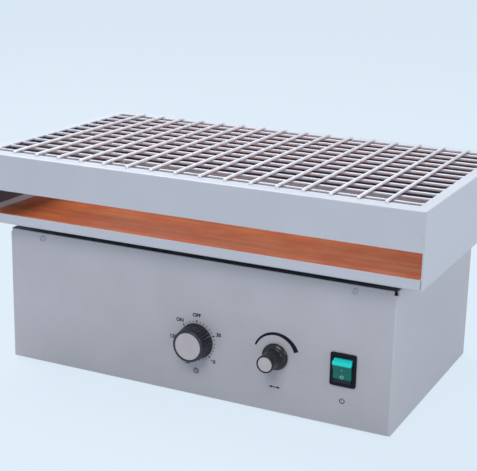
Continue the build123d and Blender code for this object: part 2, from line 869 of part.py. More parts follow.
with BuildPart() as board_spacers:
    with BuildSketch(Plane.XY.offset(floor_z)):
        with Locations(*spacer_places):
            RegularPolygon(spacer_radius, hexagon)
            Circle(m3_hole, mode=Mode.SUBTRACT)
    extrude(amount=spacer_height)
save(board_spacers, "board_spacers")

with BuildPart() as control_board:
    with BuildSketch(Plane.XY.offset(board_z)):
        with Locations((board_x, board_y)):
            Rectangle(board_length, board_width)
        with Locations(*spacer_places):
            Circle(m3_hole, mode=Mode.SUBTRACT)
    extrude(amount=board_sheet)
    with BuildSketch(Plane.XY.offset(board_z + board_sheet)):
        with Locations(sink_place):
            Rectangle(sink_fins * sink_pitch, sink_depth)
    extrude(amount=sink_base)
    with BuildSketch(Plane.XY.offset(board_z + board_sheet + sink_base)):
        with Locations(sink_place):
            with GridLocations(sink_pitch, 1, sink_fins, 1):
                Rectangle(sink_fin, sink_depth)
    extrude(amount=sink_height - sink_base)
    with BuildSketch(Plane.XY.offset(board_z + board_sheet)):
        with Locations(*capacitor_places):
            Circle(capacitor_radius)
    extrude(amount=capacitor_height)
    with BuildSketch(Plane.XY.offset(board_z + board_sheet)):
        with Locations(terminal_place):
            Rectangle(terminal_length, terminal_width)
    extrude(amount=terminal_height)
save(control_board, "control_board")

# Transformer: a winding between the plates of its core, on a flanged foot
transformer_spacing = 40.0
transformer_place = (board_x, board_y - board_width / 2 - transformer_spacing)
transformer_foot_length = 64.0
transformer_foot_width = 26.0
transformer_foot = 2.0
core_length = 48.0
core_width = 22.0
core_height = 40.0
winding_length = 26.0
winding_width = 42.0
winding_height = 24.0
winding_round = 4.0

with BuildPart() as transformer:
    with BuildSketch(Plane.XY.offset(floor_z)):
        with Locations(transformer_place):
            Rectangle(transformer_foot_length, transformer_foot_width)
    extrude(amount=transformer_foot)
    with BuildSketch(Plane.XY.offset(floor_z + transformer_foot)):
        with Locations(transformer_place):
            Rectangle(core_length, core_width)
    extrude(amount=core_height)
    with BuildSketch(Plane.XY.offset(floor_z + (core_height - winding_height) / 2 + transformer_foot)):
        with Locations(transformer_place):
            RectangleRounded(winding_length, winding_width, winding_round)
    extrude(amount=winding_height)
save(transformer, "transformer")


# Timer: clockwork body behind the panel, its fixing nut, and the fluted knob on its shaft
timer_body_size = 48.0
timer_body_depth = 32.0
timer_body_round = 4.0
timer_bore_depth = 20.0
nut_thickness = 2.4
nut_width = 2.6
nut_clearance = 3.4
bush_overhang = 1.0
timer_shaft_radius = timer_shaft_diameter / 2
timer_bush_end = front_y - knob_lift - nut_thickness - bush_overhang
knob_back = front_y - knob_lift
nut_recess_gap = 2.0
nut_recess = nut_thickness + nut_recess_gap

with BuildPart() as timer_body:
    with BuildSketch(front_seat(timer_x, control_z, inner_front)):
        RectangleRounded(timer_body_size, timer_body_size, timer_body_round)
    extrude(amount=-timer_body_depth)
    with BuildSketch(front_seat(timer_x, control_z, inner_front)):
        Circle(timer_bush_radius)
    extrude(amount=inner_front - timer_bush_end)
    with BuildSketch(front_seat(timer_x, control_z, timer_bush_end)):
        Circle(timer_shaft_radius + running_gap)
    extrude(amount=-timer_bore_depth, mode=Mode.SUBTRACT)
save(timer_body, "timer_body")

speed_body_radius = 12.0
speed_body_depth = 14.0
speed_tab_width = 16.0
speed_tab_height = 10.0
speed_bore_depth = 16.0
speed_shaft_radius = speed_shaft_diameter / 2
speed_bush_end = timer_bush_end

with BuildPart() as speed_control:
    with BuildSketch(front_seat(speed_x, control_z, inner_front)):
        Circle(speed_body_radius)
        with Locations((0, -speed_body_radius)):
            Rectangle(speed_tab_width, speed_tab_height)
    extrude(amount=-speed_body_depth)
    with BuildSketch(front_seat(speed_x, control_z, inner_front)):
        Circle(speed_bush_radius)
    extrude(amount=inner_front - speed_bush_end)
    with BuildSketch(front_seat(speed_x, control_z, speed_bush_end)):
        Circle(speed_shaft_radius + running_gap)
    extrude(amount=-speed_bore_depth, mode=Mode.SUBTRACT)
save(speed_control, "speed_control")

with BuildPart() as panel_nuts:
    for nut_x, bush_radius_here in ((timer_x, timer_bush_radius), (speed_x, speed_bush_radius)):
        with BuildSketch(front_seat(nut_x, control_z)):
            RegularPolygon(bush_radius_here + nut_width, hexagon)
            Circle(bush_radius_here, mode=Mode.SUBTRACT)
        extrude(amount=nut_thickness)
save(panel_nuts, "panel_nuts")


def knob_shaft(x, radius, seat_depth, reach):
    """Round shaft from inside a control body to the seat in its knob."""
    with BuildPart() as shaft:
        with BuildSketch(front_seat(x, control_z, inner_front + seat_depth)):
            Circle(radius)
        extrude(amount=inner_front + seat_depth - reach)
    return shaft


timer_face_cover = 5.0
timer_seat_depth = 10.0
timer_shaft_end = knob_back - timer_length + timer_face_cover
timer_shaft = knob_shaft(timer_x, timer_shaft_radius, timer_seat_depth, timer_shaft_end)
save(timer_shaft, "timer_shaft")

speed_face_cover = 6.0
speed_seat_depth = 8.0
speed_shaft_end = knob_back - speed_length + speed_face_cover
speed_shaft = knob_shaft(speed_x, speed_shaft_radius, speed_seat_depth, speed_shaft_end)
save(speed_shaft, "speed_shaft")

# Timer knob: a tapered fluted body with a raised rim round a recessed metal disc
timer_taper = math.degrees(math.atan((timer_base_radius - timer_face_radius) / timer_length))
flute_fill = 0.62
flute_set_out = 0.45
flute_radius = math.pi * timer_base_radius / timer_flutes * flute_fill
disc_recess = 1.2
disc_thickness = 0.8
disc_gap = 0.05

with BuildPart() as timer_knob:
    with BuildSketch(front_seat(timer_x, control_z, knob_back)):
        Circle(timer_base_radius)
        with PolarLocations(timer_base_radius + flute_radius * flute_set_out, timer_flutes):
            Circle(flute_radius, mode=Mode.SUBTRACT)
    extrude(amount=timer_length - disc_recess, taper=timer_taper)
    with BuildSketch(front_seat(timer_x, control_z, knob_back - timer_length + disc_recess)):
        Circle(timer_face_radius)
        Circle(timer_disc_radius, mode=Mode.SUBTRACT)
    extrude(amount=disc_recess)
    with BuildSketch(front_seat(timer_x, control_z, knob_back)):
        Circle(timer_bush_radius + nut_clearance)
    extrude(amount=nut_recess, mode=Mode.SUBTRACT)
    with BuildSketch(front_seat(timer_x, control_z, knob_back)):
        Circle(timer_shaft_radius)
    extrude(amount=knob_back - timer_shaft_end, mode=Mode.SUBTRACT)
save(timer_knob, "timer_knob")

with BuildPart() as timer_disc:
    with BuildSketch(front_seat(timer_x, control_z, knob_back - timer_length + disc_recess)):
        Circle(timer_disc_radius - disc_gap)
    extrude(amount=disc_thickness)
save(timer_disc, "timer_knob_disc")

# Speed knob: a domed skirt that carries a narrow fluted barrel with a metal cap
skirt_edge = 1.6
skirt_dome = 4.2
skirt_shoulder = 1.6
shoulder_share = 0.72
skirt_overlap = 2.0
dome_inset = 1.0
cap_recess = 0.6
cap_seat = 1.4
speed_rim = 1.6
speed_rim_inset = 0.3
speed_flute_radius = 0.75
speed_flute_set_out = 0.35
barrel_taper = 1.2
dome_inner = speed_barrel_radius - dome_inset

with BuildPart() as speed_knob:
    with BuildSketch(Plane(origin=(speed_x, knob_back, control_z), x_dir=(1, 0, 0), z_dir=(0, 0, 1))):
        with BuildLine():
            Line((0, 0), (speed_skirt_radius, 0))
            Line((speed_skirt_radius, 0), (speed_skirt_radius, -skirt_edge))
            ThreePointArc(
                (speed_skirt_radius, -skirt_edge),
                (speed_skirt_radius - skirt_shoulder, -skirt_dome * shoulder_share),
                (dome_inner, -skirt_dome),
            )
            Line((dome_inner, -skirt_dome), (0, -skirt_dome))
            Line((0, -skirt_dome), (0, 0))
        make_face()
    revolve(axis=Axis((speed_x, knob_back, control_z), (0, 1, 0)))
    with BuildSketch(front_seat(speed_x, control_z, knob_back - skirt_overlap)):
        Circle(speed_barrel_radius)
        with PolarLocations(speed_barrel_radius + speed_flute_set_out, speed_flutes):
            Circle(speed_flute_radius, mode=Mode.SUBTRACT)
    extrude(amount=speed_length - skirt_overlap - cap_seat, taper=barrel_taper)
    with BuildSketch(front_seat(speed_x, control_z, knob_back - speed_length + speed_rim)):
        Circle(speed_barrel_radius - speed_rim_inset)
        Circle(speed_cap_radius, mode=Mode.SUBTRACT)
    extrude(amount=speed_rim)
    with BuildSketch(front_seat(speed_x, control_z, knob_back)):
        Circle(speed_bush_radius + nut_clearance)
    extrude(amount=nut_recess, mode=Mode.SUBTRACT)
    with BuildSketch(front_seat(speed_x, control_z, knob_back)):
        Circle(speed_shaft_radius)
    extrude(amount=knob_back - speed_shaft_end, mode=Mode.SUBTRACT)
save(speed_knob, "speed_knob")

with BuildPart() as speed_cap:
    with BuildSketch(front_seat(speed_x, control_z, knob_back - speed_length + cap_seat)):
        Circle(speed_cap_radius - disc_gap)
    extrude(amount=cap_seat - cap_recess)
save(speed_cap, "speed_knob_cap")


# Mains switch: a snap-in body with a bezel, and a rocker on trunnions inside it
bezel_round = 2.0
well_half_width = rocker_width / 2 + rocker_gap
well_half_height = rocker_half + rocker_swing_gap
well_depth = 14.0
bezel_chamfer = 0.7
rocker_axis_depth = 3.2
rocker_axis_y = front_y + rocker_axis_depth
trunnion_radius = 1.6
trunnion_reach = 1.2
trunnion_end_gap = 0.2

with BuildPart() as switch_body:
    with BuildSketch(front_seat(switch_x, control_z)):
        RectangleRounded(switch_width, switch_height, bezel_round)
    extrude(amount=switch_bezel)
    chamfer(faces().sort_by(Axis.Y)[0].edges(), bezel_chamfer)
    with BuildSketch(front_seat(switch_x, control_z)):
        Rectangle(switch_body_width, switch_body_height)
    extrude(amount=-switch_body_depth)
    with BuildSketch(front_seat(switch_x, control_z, front_y - switch_bezel)):
        Rectangle(2 * well_half_width, 2 * well_half_height)
    extrude(amount=-well_depth, mode=Mode.SUBTRACT)
    with BuildSketch(Plane(origin=(switch_x, rocker_axis_y, control_z), z_dir=(1, 0, 0))):
        Circle(trunnion_radius + running_gap)
    extrude(amount=well_half_width + trunnion_reach, both=True, mode=Mode.SUBTRACT)
save(switch_body, "switch_body")

# Rocker drawn level, with its two faces meeting in a shallow V, then tipped so that its foot is in
rocker_proud = 1.2
rocker_face = switch_bezel + rocker_axis_depth + rocker_proud
rocker_back = 2.6
rocker_heel = 4.0
rocker_cheek = 3.4
rocker_round = 0.6
with BuildPart() as rocker:
    with BuildSketch(Plane(origin=(switch_x, rocker_axis_y, control_z), x_dir=(0, 1, 0), z_dir=(1, 0, 0))):
        with BuildLine():
            Polyline(
                (rocker_back, -rocker_heel),
                (-rocker_face - rocker_crown + rocker_cheek, -rocker_half),
                (-rocker_face - rocker_crown, -rocker_half),
                (-rocker_face, 0),
                (-rocker_face - rocker_crown, rocker_half),
                (-rocker_face - rocker_crown + rocker_cheek, rocker_half),
                (rocker_back, rocker_heel),
                close=True,
            )
        make_face()
        fillet(vertices().sort_by(Axis.Y)[0:2], rocker_round)
    extrude(amount=rocker_width / 2, both=True)
    with BuildSketch(Plane(origin=(switch_x, rocker_axis_y, control_z), z_dir=(1, 0, 0))):
        Circle(trunnion_radius)
    extrude(amount=rocker_width / 2 + rocker_gap + trunnion_reach - trunnion_end_gap, both=True)
rocker.part = rocker.part.rotate(Axis((switch_x, rocker_axis_y, control_z), (1, 0, 0)), rocker_tilt)
save(rocker, "rocker")


# Mains inlet with three blades in its socket, and a fuse holder beside it
inlet_depth = 22.0
inlet_round = 4.0
socket_width = 23.6
socket_height = 15.8
socket_depth = 15.0
socket_corner = 4.0
blade_length = 10.5
blade_width = 2.0
blade_height = 4.0
blade_places = [(-7.0, -1.5), (0.0, 2.5), (7.0, -1.5)]

with BuildPart() as power_inlet:
    with BuildSketch(rear_face):
        with Locations((-inlet_x, inlet_z)):
            RectangleRounded(inlet_flange_width, inlet_flange_height, inlet_round)
            with GridLocations(2 * inlet_screw_x, 1, 2, 1):
                Circle(m3_hole, mode=Mode.SUBTRACT)
    extrude(amount=inlet_flange)
    with BuildSketch(rear_face):
        with Locations((-inlet_x, inlet_z)):
            Rectangle(inlet_width, inlet_height)
    extrude(amount=-inlet_depth)
    with BuildSketch(rear_face.offset(inlet_flange)):
        with Locations((-inlet_x, inlet_z)):
            Rectangle(socket_width, socket_height)
            chamfer(vertices().group_by(Axis.Y)[-1], socket_corner)
    extrude(amount=-socket_depth, mode=Mode.SUBTRACT)
    with BuildSketch(rear_face.offset(inlet_flange - socket_depth)):
        with Locations(*[(-inlet_x + dx, inlet_z + dz) for dx, dz in blade_places]):
            Rectangle(blade_width, blade_height)
    extrude(amount=blade_length)
save(power_inlet, "power_inlet")

fuse_collar = 2.5
fuse_collar_width = 2.0
fuse_cap_length = 4.5
fuse_cap_step = 0.6
fuse_cap_radius = fuse_radius - fuse_cap_step
fuse_slot = 1.4
fuse_depth = 30.0

with BuildPart() as fuse_holder:
    with BuildSketch(rear_face):
        with Locations((-fuse_x, inlet_z)):
            Circle(fuse_radius + fuse_collar_width)
    extrude(amount=fuse_collar)
    with BuildSketch(rear_face.offset(fuse_collar)):
        with Locations((-fuse_x, inlet_z)):
            Circle(fuse_cap_radius)
            Rectangle(2 * fuse_radius, fuse_slot, mode=Mode.SUBTRACT)
    extrude(amount=fuse_cap_length)
    with BuildSketch(rear_face):
        with Locations((-fuse_x, inlet_z)):
            Circle(fuse_radius)
    extrude(amount=-fuse_depth)
save(fuse_holder, "fuse_holder")


# Tray pan: a sheet floor with a low rim on all sides, its corners cut back on a slant
pan_half_x = tray_inner_x - pan_side_gap
pan_half_y = tray_half_y
pan_hole = 2.7

with BuildPart() as tray_pan:
    with BuildSketch(Plane.XY.offset(tray_z)):
        Rectangle(2 * pan_half_x, 2 * pan_half_y)
    extrude(amount=rim_height)
    fillet(edges().group_by(Axis.Z)[0], pan_bend)
    with BuildSketch(Plane.XY.offset(tray_z + pan_sheet)):
        Rectangle(2 * (pan_half_x - pan_sheet), 2 * (pan_half_y - pan_sheet))
    extrude(amount=rim_height, mode=Mode.SUBTRACT)
    for sy in (-1, 1):
        with BuildSketch(Plane(origin=(0, sy * pan_half_y, 0), x_dir=(1, 0, 0), z_dir=(0, -sy, 0))):
            for sx in (-1, 1):
                with BuildLine():
                    Polyline(
                        (sx * (pan_half_x + cut_over), rim_top + cut_over),
                        (sx * (pan_half_x - rim_slant), rim_top + cut_over),
                        (sx * (pan_half_x - rim_foot_inset), tray_z + rim_slant_foot),
                        (sx * (pan_half_x + cut_over), tray_z + rim_slant_foot),
                        close=True,
                    )
                make_face()
        extrude(amount=pan_sheet, mode=Mode.SUBTRACT)
    with BuildSketch(Plane.XY.offset(tray_z)):
        with Locations(*slider_places):
            Circle(pan_hole)
    extrude(amount=pan_sheet, mode=Mode.SUBTRACT)
save(tray_pan, "tray_pan")

# Varnished board that lines the pan, drilled from below over the screw heads
head_recess_radius = 5.4
head_recess = 2.2

with BuildPart() as tray_board:
    with BuildSketch(Plane.XY.offset(tray_z + pan_sheet)):
        Rectangle(2 * (pan_half_x - pan_sheet - board_gap), 2 * (pan_half_y - pan_sheet - board_gap))
    extrude(amount=board_thickness)
    with BuildSketch(Plane.XY.offset(tray_z + pan_sheet)):
        with Locations(*slider_places):
            Circle(head_recess_radius)
    extrude(amount=head_recess, mode=Mode.SUBTRACT)
save(tray_board, "tray_board")

tray_head_radius = 4.4
tray_head_height = 1.8
tray_screw_length = pan_sheet + post_screw_depth - m4_tip_gap
tray_seats = [(seat, tray_screw_length) for seat in upward_seats(slider_places, tray_z + pan_sheet)]
tray_screws = screws(tray_seats, tray_head_radius, tray_head_height, post_screw_radius - running_gap)
save(tray_screws, "tray_screws")


# Tray sides: full-height sheets with an inward top flange, mitred at its ends
side_foot_lift = 0.5
side_bottom = tray_z + side_foot_lift
side_edge_x = tray_half_x - side_flange
band_edge_y = tray_half_y - band_flange
mitre_x = mitre_overrun * (tray_inner_x - side_edge_x)
mitre_y = mitre_overrun * band_flange
outer_round = 2 * edge_round
mitre_top = tray_top + cut_over
mitre_cut = tray_wall + cut_over

for end, sx in (("left", -1), ("right", 1)):
    with BuildPart() as side:
        with BuildSketch(Plane(origin=(0, -tray_half_y, 0), x_dir=(1, 0, 0), z_dir=(0, -1, 0))):
            with BuildLine():
                Polyline(
                    (sx * tray_half_x, side_bottom),
                    (sx * tray_half_x, tray_top),
                    (sx * side_edge_x, tray_top),
                    (sx * side_edge_x, tray_top - tray_wall),
                    (sx * tray_inner_x, tray_top - tray_wall),
                    (sx * tray_inner_x, side_bottom),
                    close=True,
                )
            make_face()
        extrude(amount=-tray_depth)
        outer_top = edges().filter_by(Axis.Y).group_by(Axis.Z)[-1].sort_by(Axis.X)[0 if sx < 0 else -1]
        fillet(outer_top, outer_round)
        with BuildSketch(Plane.XY.offset(mitre_top)):
            for sy in (-1, 1):
                with BuildLine():
                    Polyline(
                        (sx * tray_inner_x, sy * tray_half_y),
                        (sx * (tray_inner_x - mitre_x), sy * tray_half_y),
                        (sx * (tray_inner_x - mitre_x), sy * (tray_half_y - mitre_y)),
                        close=True,
                    )
                make_face()
        extrude(amount=-mitre_cut, mode=Mode.SUBTRACT)
    save(side, "tray_side_" + end)


# Front and rear sheets between the sides, with wider top flanges. The front band ends in a hem
# over the slot, and the rear one goes down to the pan's rim.
def band_section(sy, foot, hem):
    """Corners of the folded sheet, across and up, with a hem at its foot where it has one."""
    outline = [
        (sy * tray_half_y, foot),
        (sy * tray_half_y, tray_top),
        (sy * band_edge_y, tray_top),
        (sy * band_edge_y, tray_top - tray_wall),
        (sy * tray_inner_y, tray_top - tray_wall),
    ]
    if hem > tray_wall:
        outline.append((sy * tray_inner_y, foot + tray_wall))
        outline.append((sy * (tray_half_y - hem), foot + tray_wall))
        outline.append((sy * (tray_half_y - hem), foot))
    else:
        outline.append((sy * tray_inner_y, foot))
    return outline


for end, sy, foot, hem in (("front", -1, band_z, band_hem), ("rear", 1, rim_top, 0)):
    with BuildPart() as band:
        with BuildSketch(Plane(origin=(-tray_inner_x, 0, 0), x_dir=(0, 1, 0), z_dir=(1, 0, 0))):
            with BuildLine():
                Polyline(*band_section(sy, foot, hem), close=True)
            make_face()
        extrude(amount=2 * tray_inner_x)
        outer_top = edges().filter_by(Axis.X).group_by(Axis.Z)[-1].sort_by(Axis.Y)[0 if sy < 0 else -1]
        fillet(outer_top, outer_round)
        with BuildSketch(Plane.XY.offset(mitre_top)):
            for sx in (-1, 1):
                with BuildLine():
                    Polyline(
                        (sx * tray_inner_x, sy * tray_half_y),
                        (sx * tray_inner_x, sy * (tray_half_y - mitre_y)),
                        (sx * (tray_inner_x - mitre_x), sy * (tray_half_y - mitre_y)),
                        close=True,
                    )
                make_face()
        extrude(amount=-mitre_cut, mode=Mode.SUBTRACT)
    save(band, "tray_band_" + end)


# Ledges: angle strips welded inside the sides, level with the underside of the left-right bars
wire_radius = wire / 2
long_z = tray_top + wire_radius
cross_z = long_z - wire
ledge_top = cross_z - wire_radius
ledge_edge_x = side_edge_x - ledge_reach

with BuildPart() as grid_ledges:
    for sx in (-1, 1):
        with BuildSketch(Plane(origin=(0, -tray_inner_y, 0), x_dir=(1, 0, 0), z_dir=(0, -1, 0))):
            with BuildLine():
                Polyline(
                    (sx * tray_inner_x, ledge_top),
                    (sx * ledge_edge_x, ledge_top),
                    (sx * ledge_edge_x, ledge_top - ledge_sheet),
                    (sx * (tray_inner_x - ledge_sheet), ledge_top - ledge_sheet),
                    (sx * (tray_inner_x - ledge_sheet), ledge_top - ledge_upright),
                    (sx * tray_inner_x, ledge_top - ledge_upright),
                    close=True,
                )
            make_face()
        extrude(amount=-2 * tray_inner_y)
save(grid_ledges, "grid_ledges")


# Grid: coated steel wires. The left-right bars stand between the side flanges, flush with them and
# on the ledges. The front-to-back wires lie over the bars and end on the front and rear flanges.
long_half = band_edge_y + wire_landing
opening_x = tray_width - 2 * side_flange
opening_y = tray_depth - 2 * band_flange
long_count = 1 + int((opening_x - 2 * long_margin) / long_pitch)
cross_count = 1 + int((opening_y - 2 * cross_margin) / cross_pitch)
long_places = [((i - (long_count - 1) / 2) * long_pitch, long_z) for i in range(long_count)]
cross_places = [((i - (cross_count - 1) / 2) * cross_pitch, cross_z) for i in range(cross_count)]

with BuildPart() as grid_wires_lengthwise:
    with BuildSketch(Plane(origin=(0, -long_half, 0), x_dir=(1, 0, 0), z_dir=(0, -1, 0))):
        with Locations(*long_places):
            Circle(wire_radius)
    extrude(amount=-2 * long_half)
save(grid_wires_lengthwise, "grid_wires_front_to_back")

with BuildPart() as grid_wires_crosswise:
    with BuildSketch(Plane(origin=(-side_edge_x, 0, 0), x_dir=(0, 1, 0), z_dir=(1, 0, 0))):
        with Locations(*cross_places):
            Circle(wire_radius)
    extrude(amount=2 * side_edge_x)
save(grid_wires_crosswise, "grid_wires_left_to_right")
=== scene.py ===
import math

import bmesh
import bpy
from mathutils import Matrix, Vector


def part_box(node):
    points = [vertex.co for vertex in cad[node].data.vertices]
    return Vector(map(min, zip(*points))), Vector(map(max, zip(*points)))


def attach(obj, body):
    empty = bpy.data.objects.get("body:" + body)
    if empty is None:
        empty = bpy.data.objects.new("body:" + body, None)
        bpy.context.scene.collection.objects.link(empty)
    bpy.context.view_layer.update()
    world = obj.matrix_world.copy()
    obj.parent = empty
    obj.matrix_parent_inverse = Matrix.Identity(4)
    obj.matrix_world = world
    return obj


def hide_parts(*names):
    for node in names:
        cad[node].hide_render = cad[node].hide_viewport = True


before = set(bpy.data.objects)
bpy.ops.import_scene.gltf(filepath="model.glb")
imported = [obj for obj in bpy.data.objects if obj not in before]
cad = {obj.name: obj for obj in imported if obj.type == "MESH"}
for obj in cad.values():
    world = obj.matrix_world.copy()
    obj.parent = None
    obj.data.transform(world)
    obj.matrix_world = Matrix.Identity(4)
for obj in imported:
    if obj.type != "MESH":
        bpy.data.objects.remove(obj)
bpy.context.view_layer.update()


# Camera: in front of the shaker, to its right and above the tray, with a long lens. It looks a
# little down, and it is only very slightly rolled.
camera_place = Vector((0.5162, -1.0750, 0.4687))
camera_turn = 0.453
camera_dip = 0.274
camera_roll = 0.022
camera_lens = 90.155
farthest_view = 60


def deselect():
    """Leave nothing selected, so that the next operator acts on its own piece alone."""
    bpy.ops.object.select_all(action="DESELECT")


deselect()
bpy.ops.object.camera_add(location=camera_place)
camera = bpy.context.object
camera.name = "camera"
camera.rotation_euler = (
    Matrix.Rotation(camera_turn, 3, "Z")
    @ Matrix.Rotation(math.pi / 2 - camera_dip, 3, "X")
    @ Matrix.Rotation(camera_roll, 3, "Z")
).to_euler()
camera.data.lens = camera_lens
camera.data.clip_end = farthest_view
bpy.context.scene.camera = camera


# Studio: a pale seamless floor that is wide enough to have no edge. One large soft lamp stands high
# in front, a second keeps the right side open, and a third, high at the left rear, lights the top.
floor_size = 60
floor_drop = 0.0002
floor_roughness = 0.9
floor_colour = (0.56, 0.60, 0.65, 1)
glow_colour = (0.755, 0.870, 0.975, 1)
sky_strength = 0.32
sky_glow = 0.93
floor_glow = 0.90
tray_middle = Vector((0, 0, 0.14))
lamps = [
    ("key_lamp", (0.30, -1.75, 1.70), 1.3, 20.0, (1.0, 0.985, 0.965)),
    ("side_lamp", (2.1, -0.35, 1.05), 1.2, 16.5, (0.985, 0.970, 1.0)),
    ("top_lamp", (-1.15, 0.50, 2.15), 1.2, 50.0, (1.0, 0.985, 0.985)),
]

scene = bpy.context.scene
scene.view_settings.view_transform = "Standard"
world = bpy.data.worlds.new("studio_air")
scene.world = world
world.use_nodes = True
air = world.node_tree.nodes["Background"]
air.inputs["Color"].default_value = glow_colour


def add_seen(tree, share):
    """A share on the rays that show or mirror the studio, and none on those that light the part."""
    path = tree.nodes.new("ShaderNodeLightPath")
    total = path.outputs["Is Camera Ray"]
    for name in ("Is Glossy Ray", "Is Transmission Ray"):
        added = tree.nodes.new("ShaderNodeMath")
        added.operation = "ADD"
        added.use_clamp = True
        tree.links.new(total, added.inputs[0])
        tree.links.new(path.outputs[name], added.inputs[1])
        total = added.outputs["Value"]
    scaled = tree.nodes.new("ShaderNodeMath")
    scaled.operation = "MULTIPLY"
    scaled.inputs[1].default_value = share
    tree.links.new(total, scaled.inputs[0])
    return scaled.outputs["Value"]


sky_seen = world.node_tree.nodes.new("ShaderNodeMath")
sky_seen.operation = "ADD"
sky_seen.inputs[1].default_value = sky_strength
world.node_tree.links.new(add_seen(world.node_tree, sky_glow - sky_strength), sky_seen.inputs[0])
world.node_tree.links.new(sky_seen.outputs["Value"], air.inputs["Strength"])

for lamp_name, lamp_place, lamp_size, lamp_power, lamp_colour in lamps:
    deselect()
    bpy.ops.object.light_add(type="AREA", location=lamp_place)
    lamp = bpy.context.object
    lamp.name = lamp_name
    lamp.data.shape = "DISK"
    lamp.data.size = lamp_size
    lamp.data.energy = lamp_power
    lamp.data.color = lamp_colour
    aim = tray_middle - Vector(lamp_place)
    lamp.rotation_euler = aim.to_track_quat("-Z", "Y").to_euler()

deselect()
bpy.ops.mesh.primitive_plane_add(size=floor_size, location=(0, 0, -floor_drop))
floor = bpy.context.object
floor.name = "studio_floor"
floor_paper = bpy.data.materials.new("studio_paper")
floor_paper.use_nodes = True
paper_tree = floor_paper.node_tree
paper_shader = paper_tree.nodes["Principled BSDF"]
paper_shader.inputs["Base Color"].default_value = floor_colour
paper_shader.inputs["Roughness"].default_value = floor_roughness
paper_glow = paper_tree.nodes.new("ShaderNodeEmission")
paper_glow.inputs["Color"].default_value = glow_colour
paper_mix = paper_tree.nodes.new("ShaderNodeMixShader")
paper_tree.links.new(add_seen(paper_tree, floor_glow), paper_mix.inputs["Fac"])
paper_tree.links.new(paper_shader.outputs["BSDF"], paper_mix.inputs[1])
paper_tree.links.new(paper_glow.outputs["Emission"], paper_mix.inputs[2])
paper_tree.links.new(paper_mix.outputs["Shader"], paper_tree.nodes["Material Output"].inputs["Surface"])
floor.data.materials.append(floor_paper)


# Housing: front and sides folded from one steel sheet, with a flat cover at the back, both in a
# semi-gloss stoved grey. The base is zinc-plated. The lid that is let in under the tray is painted
# near-black as painted shade, for the tray's shadow over it.
paint_grey = (0.515, 0.510, 0.555)
paint_roughness = 0.42
deck_painted_shade = (0.070, 0.070, 0.075)
plated_grey = (0.55, 0.55, 0.52)


def make_group(name, sockets_in, sockets_out):
    """An empty node group with named sockets, and its two end nodes."""
    group = bpy.data.node_groups.new(name, "ShaderNodeTree")
    for socket_name, socket_type, value in sockets_in:
        socket = group.interface.new_socket(socket_name, in_out="INPUT", socket_type=socket_type)
        if value is not None:
            socket.default_value = value
    for socket_name, socket_type in sockets_out:
        group.interface.new_socket(socket_name, in_out="OUTPUT", socket_type=socket_type)
    start = group.nodes.new("NodeGroupInput")
    end = group.nodes.new("NodeGroupOutput")
    return group, start, end


def add_noise(tree, vector, scale, detail, stretch=None):
    """A noise texture on a vector output, stretched along the axes where a stretch is given."""
    noise = tree.nodes.new("ShaderNodeTexNoise")
    noise.inputs["Scale"].default_value = scale
    noise.inputs["Detail"].default_value = detail
    if stretch is not None:
        mapping = tree.nodes.new("ShaderNodeMapping")
        mapping.inputs["Scale"].default_value = stretch
        tree.links.new(vector, mapping.inputs["Vector"])
        vector = mapping.outputs["Vector"]
    tree.links.new(vector, noise.inputs["Vector"])
    return noise


def add_range(tree, value, low_in, high_in, low_out, high_out):
    """A value turned from one range into another, and held inside it."""
    turned = tree.nodes.new("ShaderNodeMapRange")
    turned.inputs["From Min"].default_value = low_in
    turned.inputs["From Max"].default_value = high_in
    turned.inputs["To Min"].default_value = low_out
    turned.inputs["To Max"].default_value = high_out
    tree.links.new(value, turned.inputs["Value"])
    return turned.outputs["Result"]


def add_maths(tree, operation, first, second=None):
    """One arithmetic node. Each input is an output socket or a number."""
    node = tree.nodes.new("ShaderNodeMath")
    node.operation = operation
    for index, value in enumerate((first, second)):
        if value is None:
            continue
        if isinstance(value, (int, float)):
            node.inputs[index].default_value = value
        else:
            tree.links.new(value, node.inputs[index])
    return node.outputs["Value"]


def add_colour_mix(tree, blend_type, factor, first, second):
    """Two colours mixed. The factor and both colours are output sockets or plain values."""
    node = tree.nodes.new("ShaderNodeMix")
    node.data_type = "RGBA"
    node.blend_type = blend_type
    for key, value in ((0, factor), (6, first), (7, second)):
        if hasattr(value, "is_linked"):
            tree.links.new(value, node.inputs[key])
        else:
            node.inputs[key].default_value = value
    return node.outputs[2]


# Surface skin: what the paints, platings, castings and mouldings have in common. The colour is
# mottled and has small specks, the surface has a fine orange peel, and the gloss is rubbed.
peel_scale = 620.0
peel_detail = 2
peel_height = 0.00005
mottle_scale = 24.0
mottle_detail = 4
mottle_depth = 0.04
rub_depth = 0.08
speck_scale = 260
speck_range = (0.71, 0.76)
speck_cover = 0.25
speck_grey = (0.72, 0.70, 0.70, 1)
noise_middle = 0.5
swing_gain = 4.0

surface_skin, skin_in, skin_out = make_group(
    "surface_skin",
    [
        ("Vector", "NodeSocketVector", None),
        ("Color", "NodeSocketColor", (0.5, 0.5, 0.5, 1)),
        ("Mottle Scale", "NodeSocketFloat", mottle_scale),
        ("Mottle", "NodeSocketFloat", mottle_depth),
        ("Grain Scale", "NodeSocketFloat", peel_scale),
        ("Roughness", "NodeSocketFloat", 0.4),
        ("Rub", "NodeSocketFloat", rub_depth),
    ],
    [
        ("Color", "NodeSocketColor"),
        ("Roughness", "NodeSocketFloat"),
        ("Height", "NodeSocketFloat"),
    ],
)
broad = add_noise(surface_skin, skin_in.outputs["Vector"], mottle_scale, mottle_detail)
surface_skin.links.new(skin_in.outputs["Mottle Scale"], broad.inputs["Scale"])
grain = add_noise(surface_skin, skin_in.outputs["Vector"], peel_scale, peel_detail)
surface_skin.links.new(skin_in.outputs["Grain Scale"], grain.inputs["Scale"])
specks = add_noise(surface_skin, skin_in.outputs["Vector"], speck_scale, detail=1)
speck_mask = add_range(surface_skin, specks.outputs["Fac"], *speck_range, 0, speck_cover)
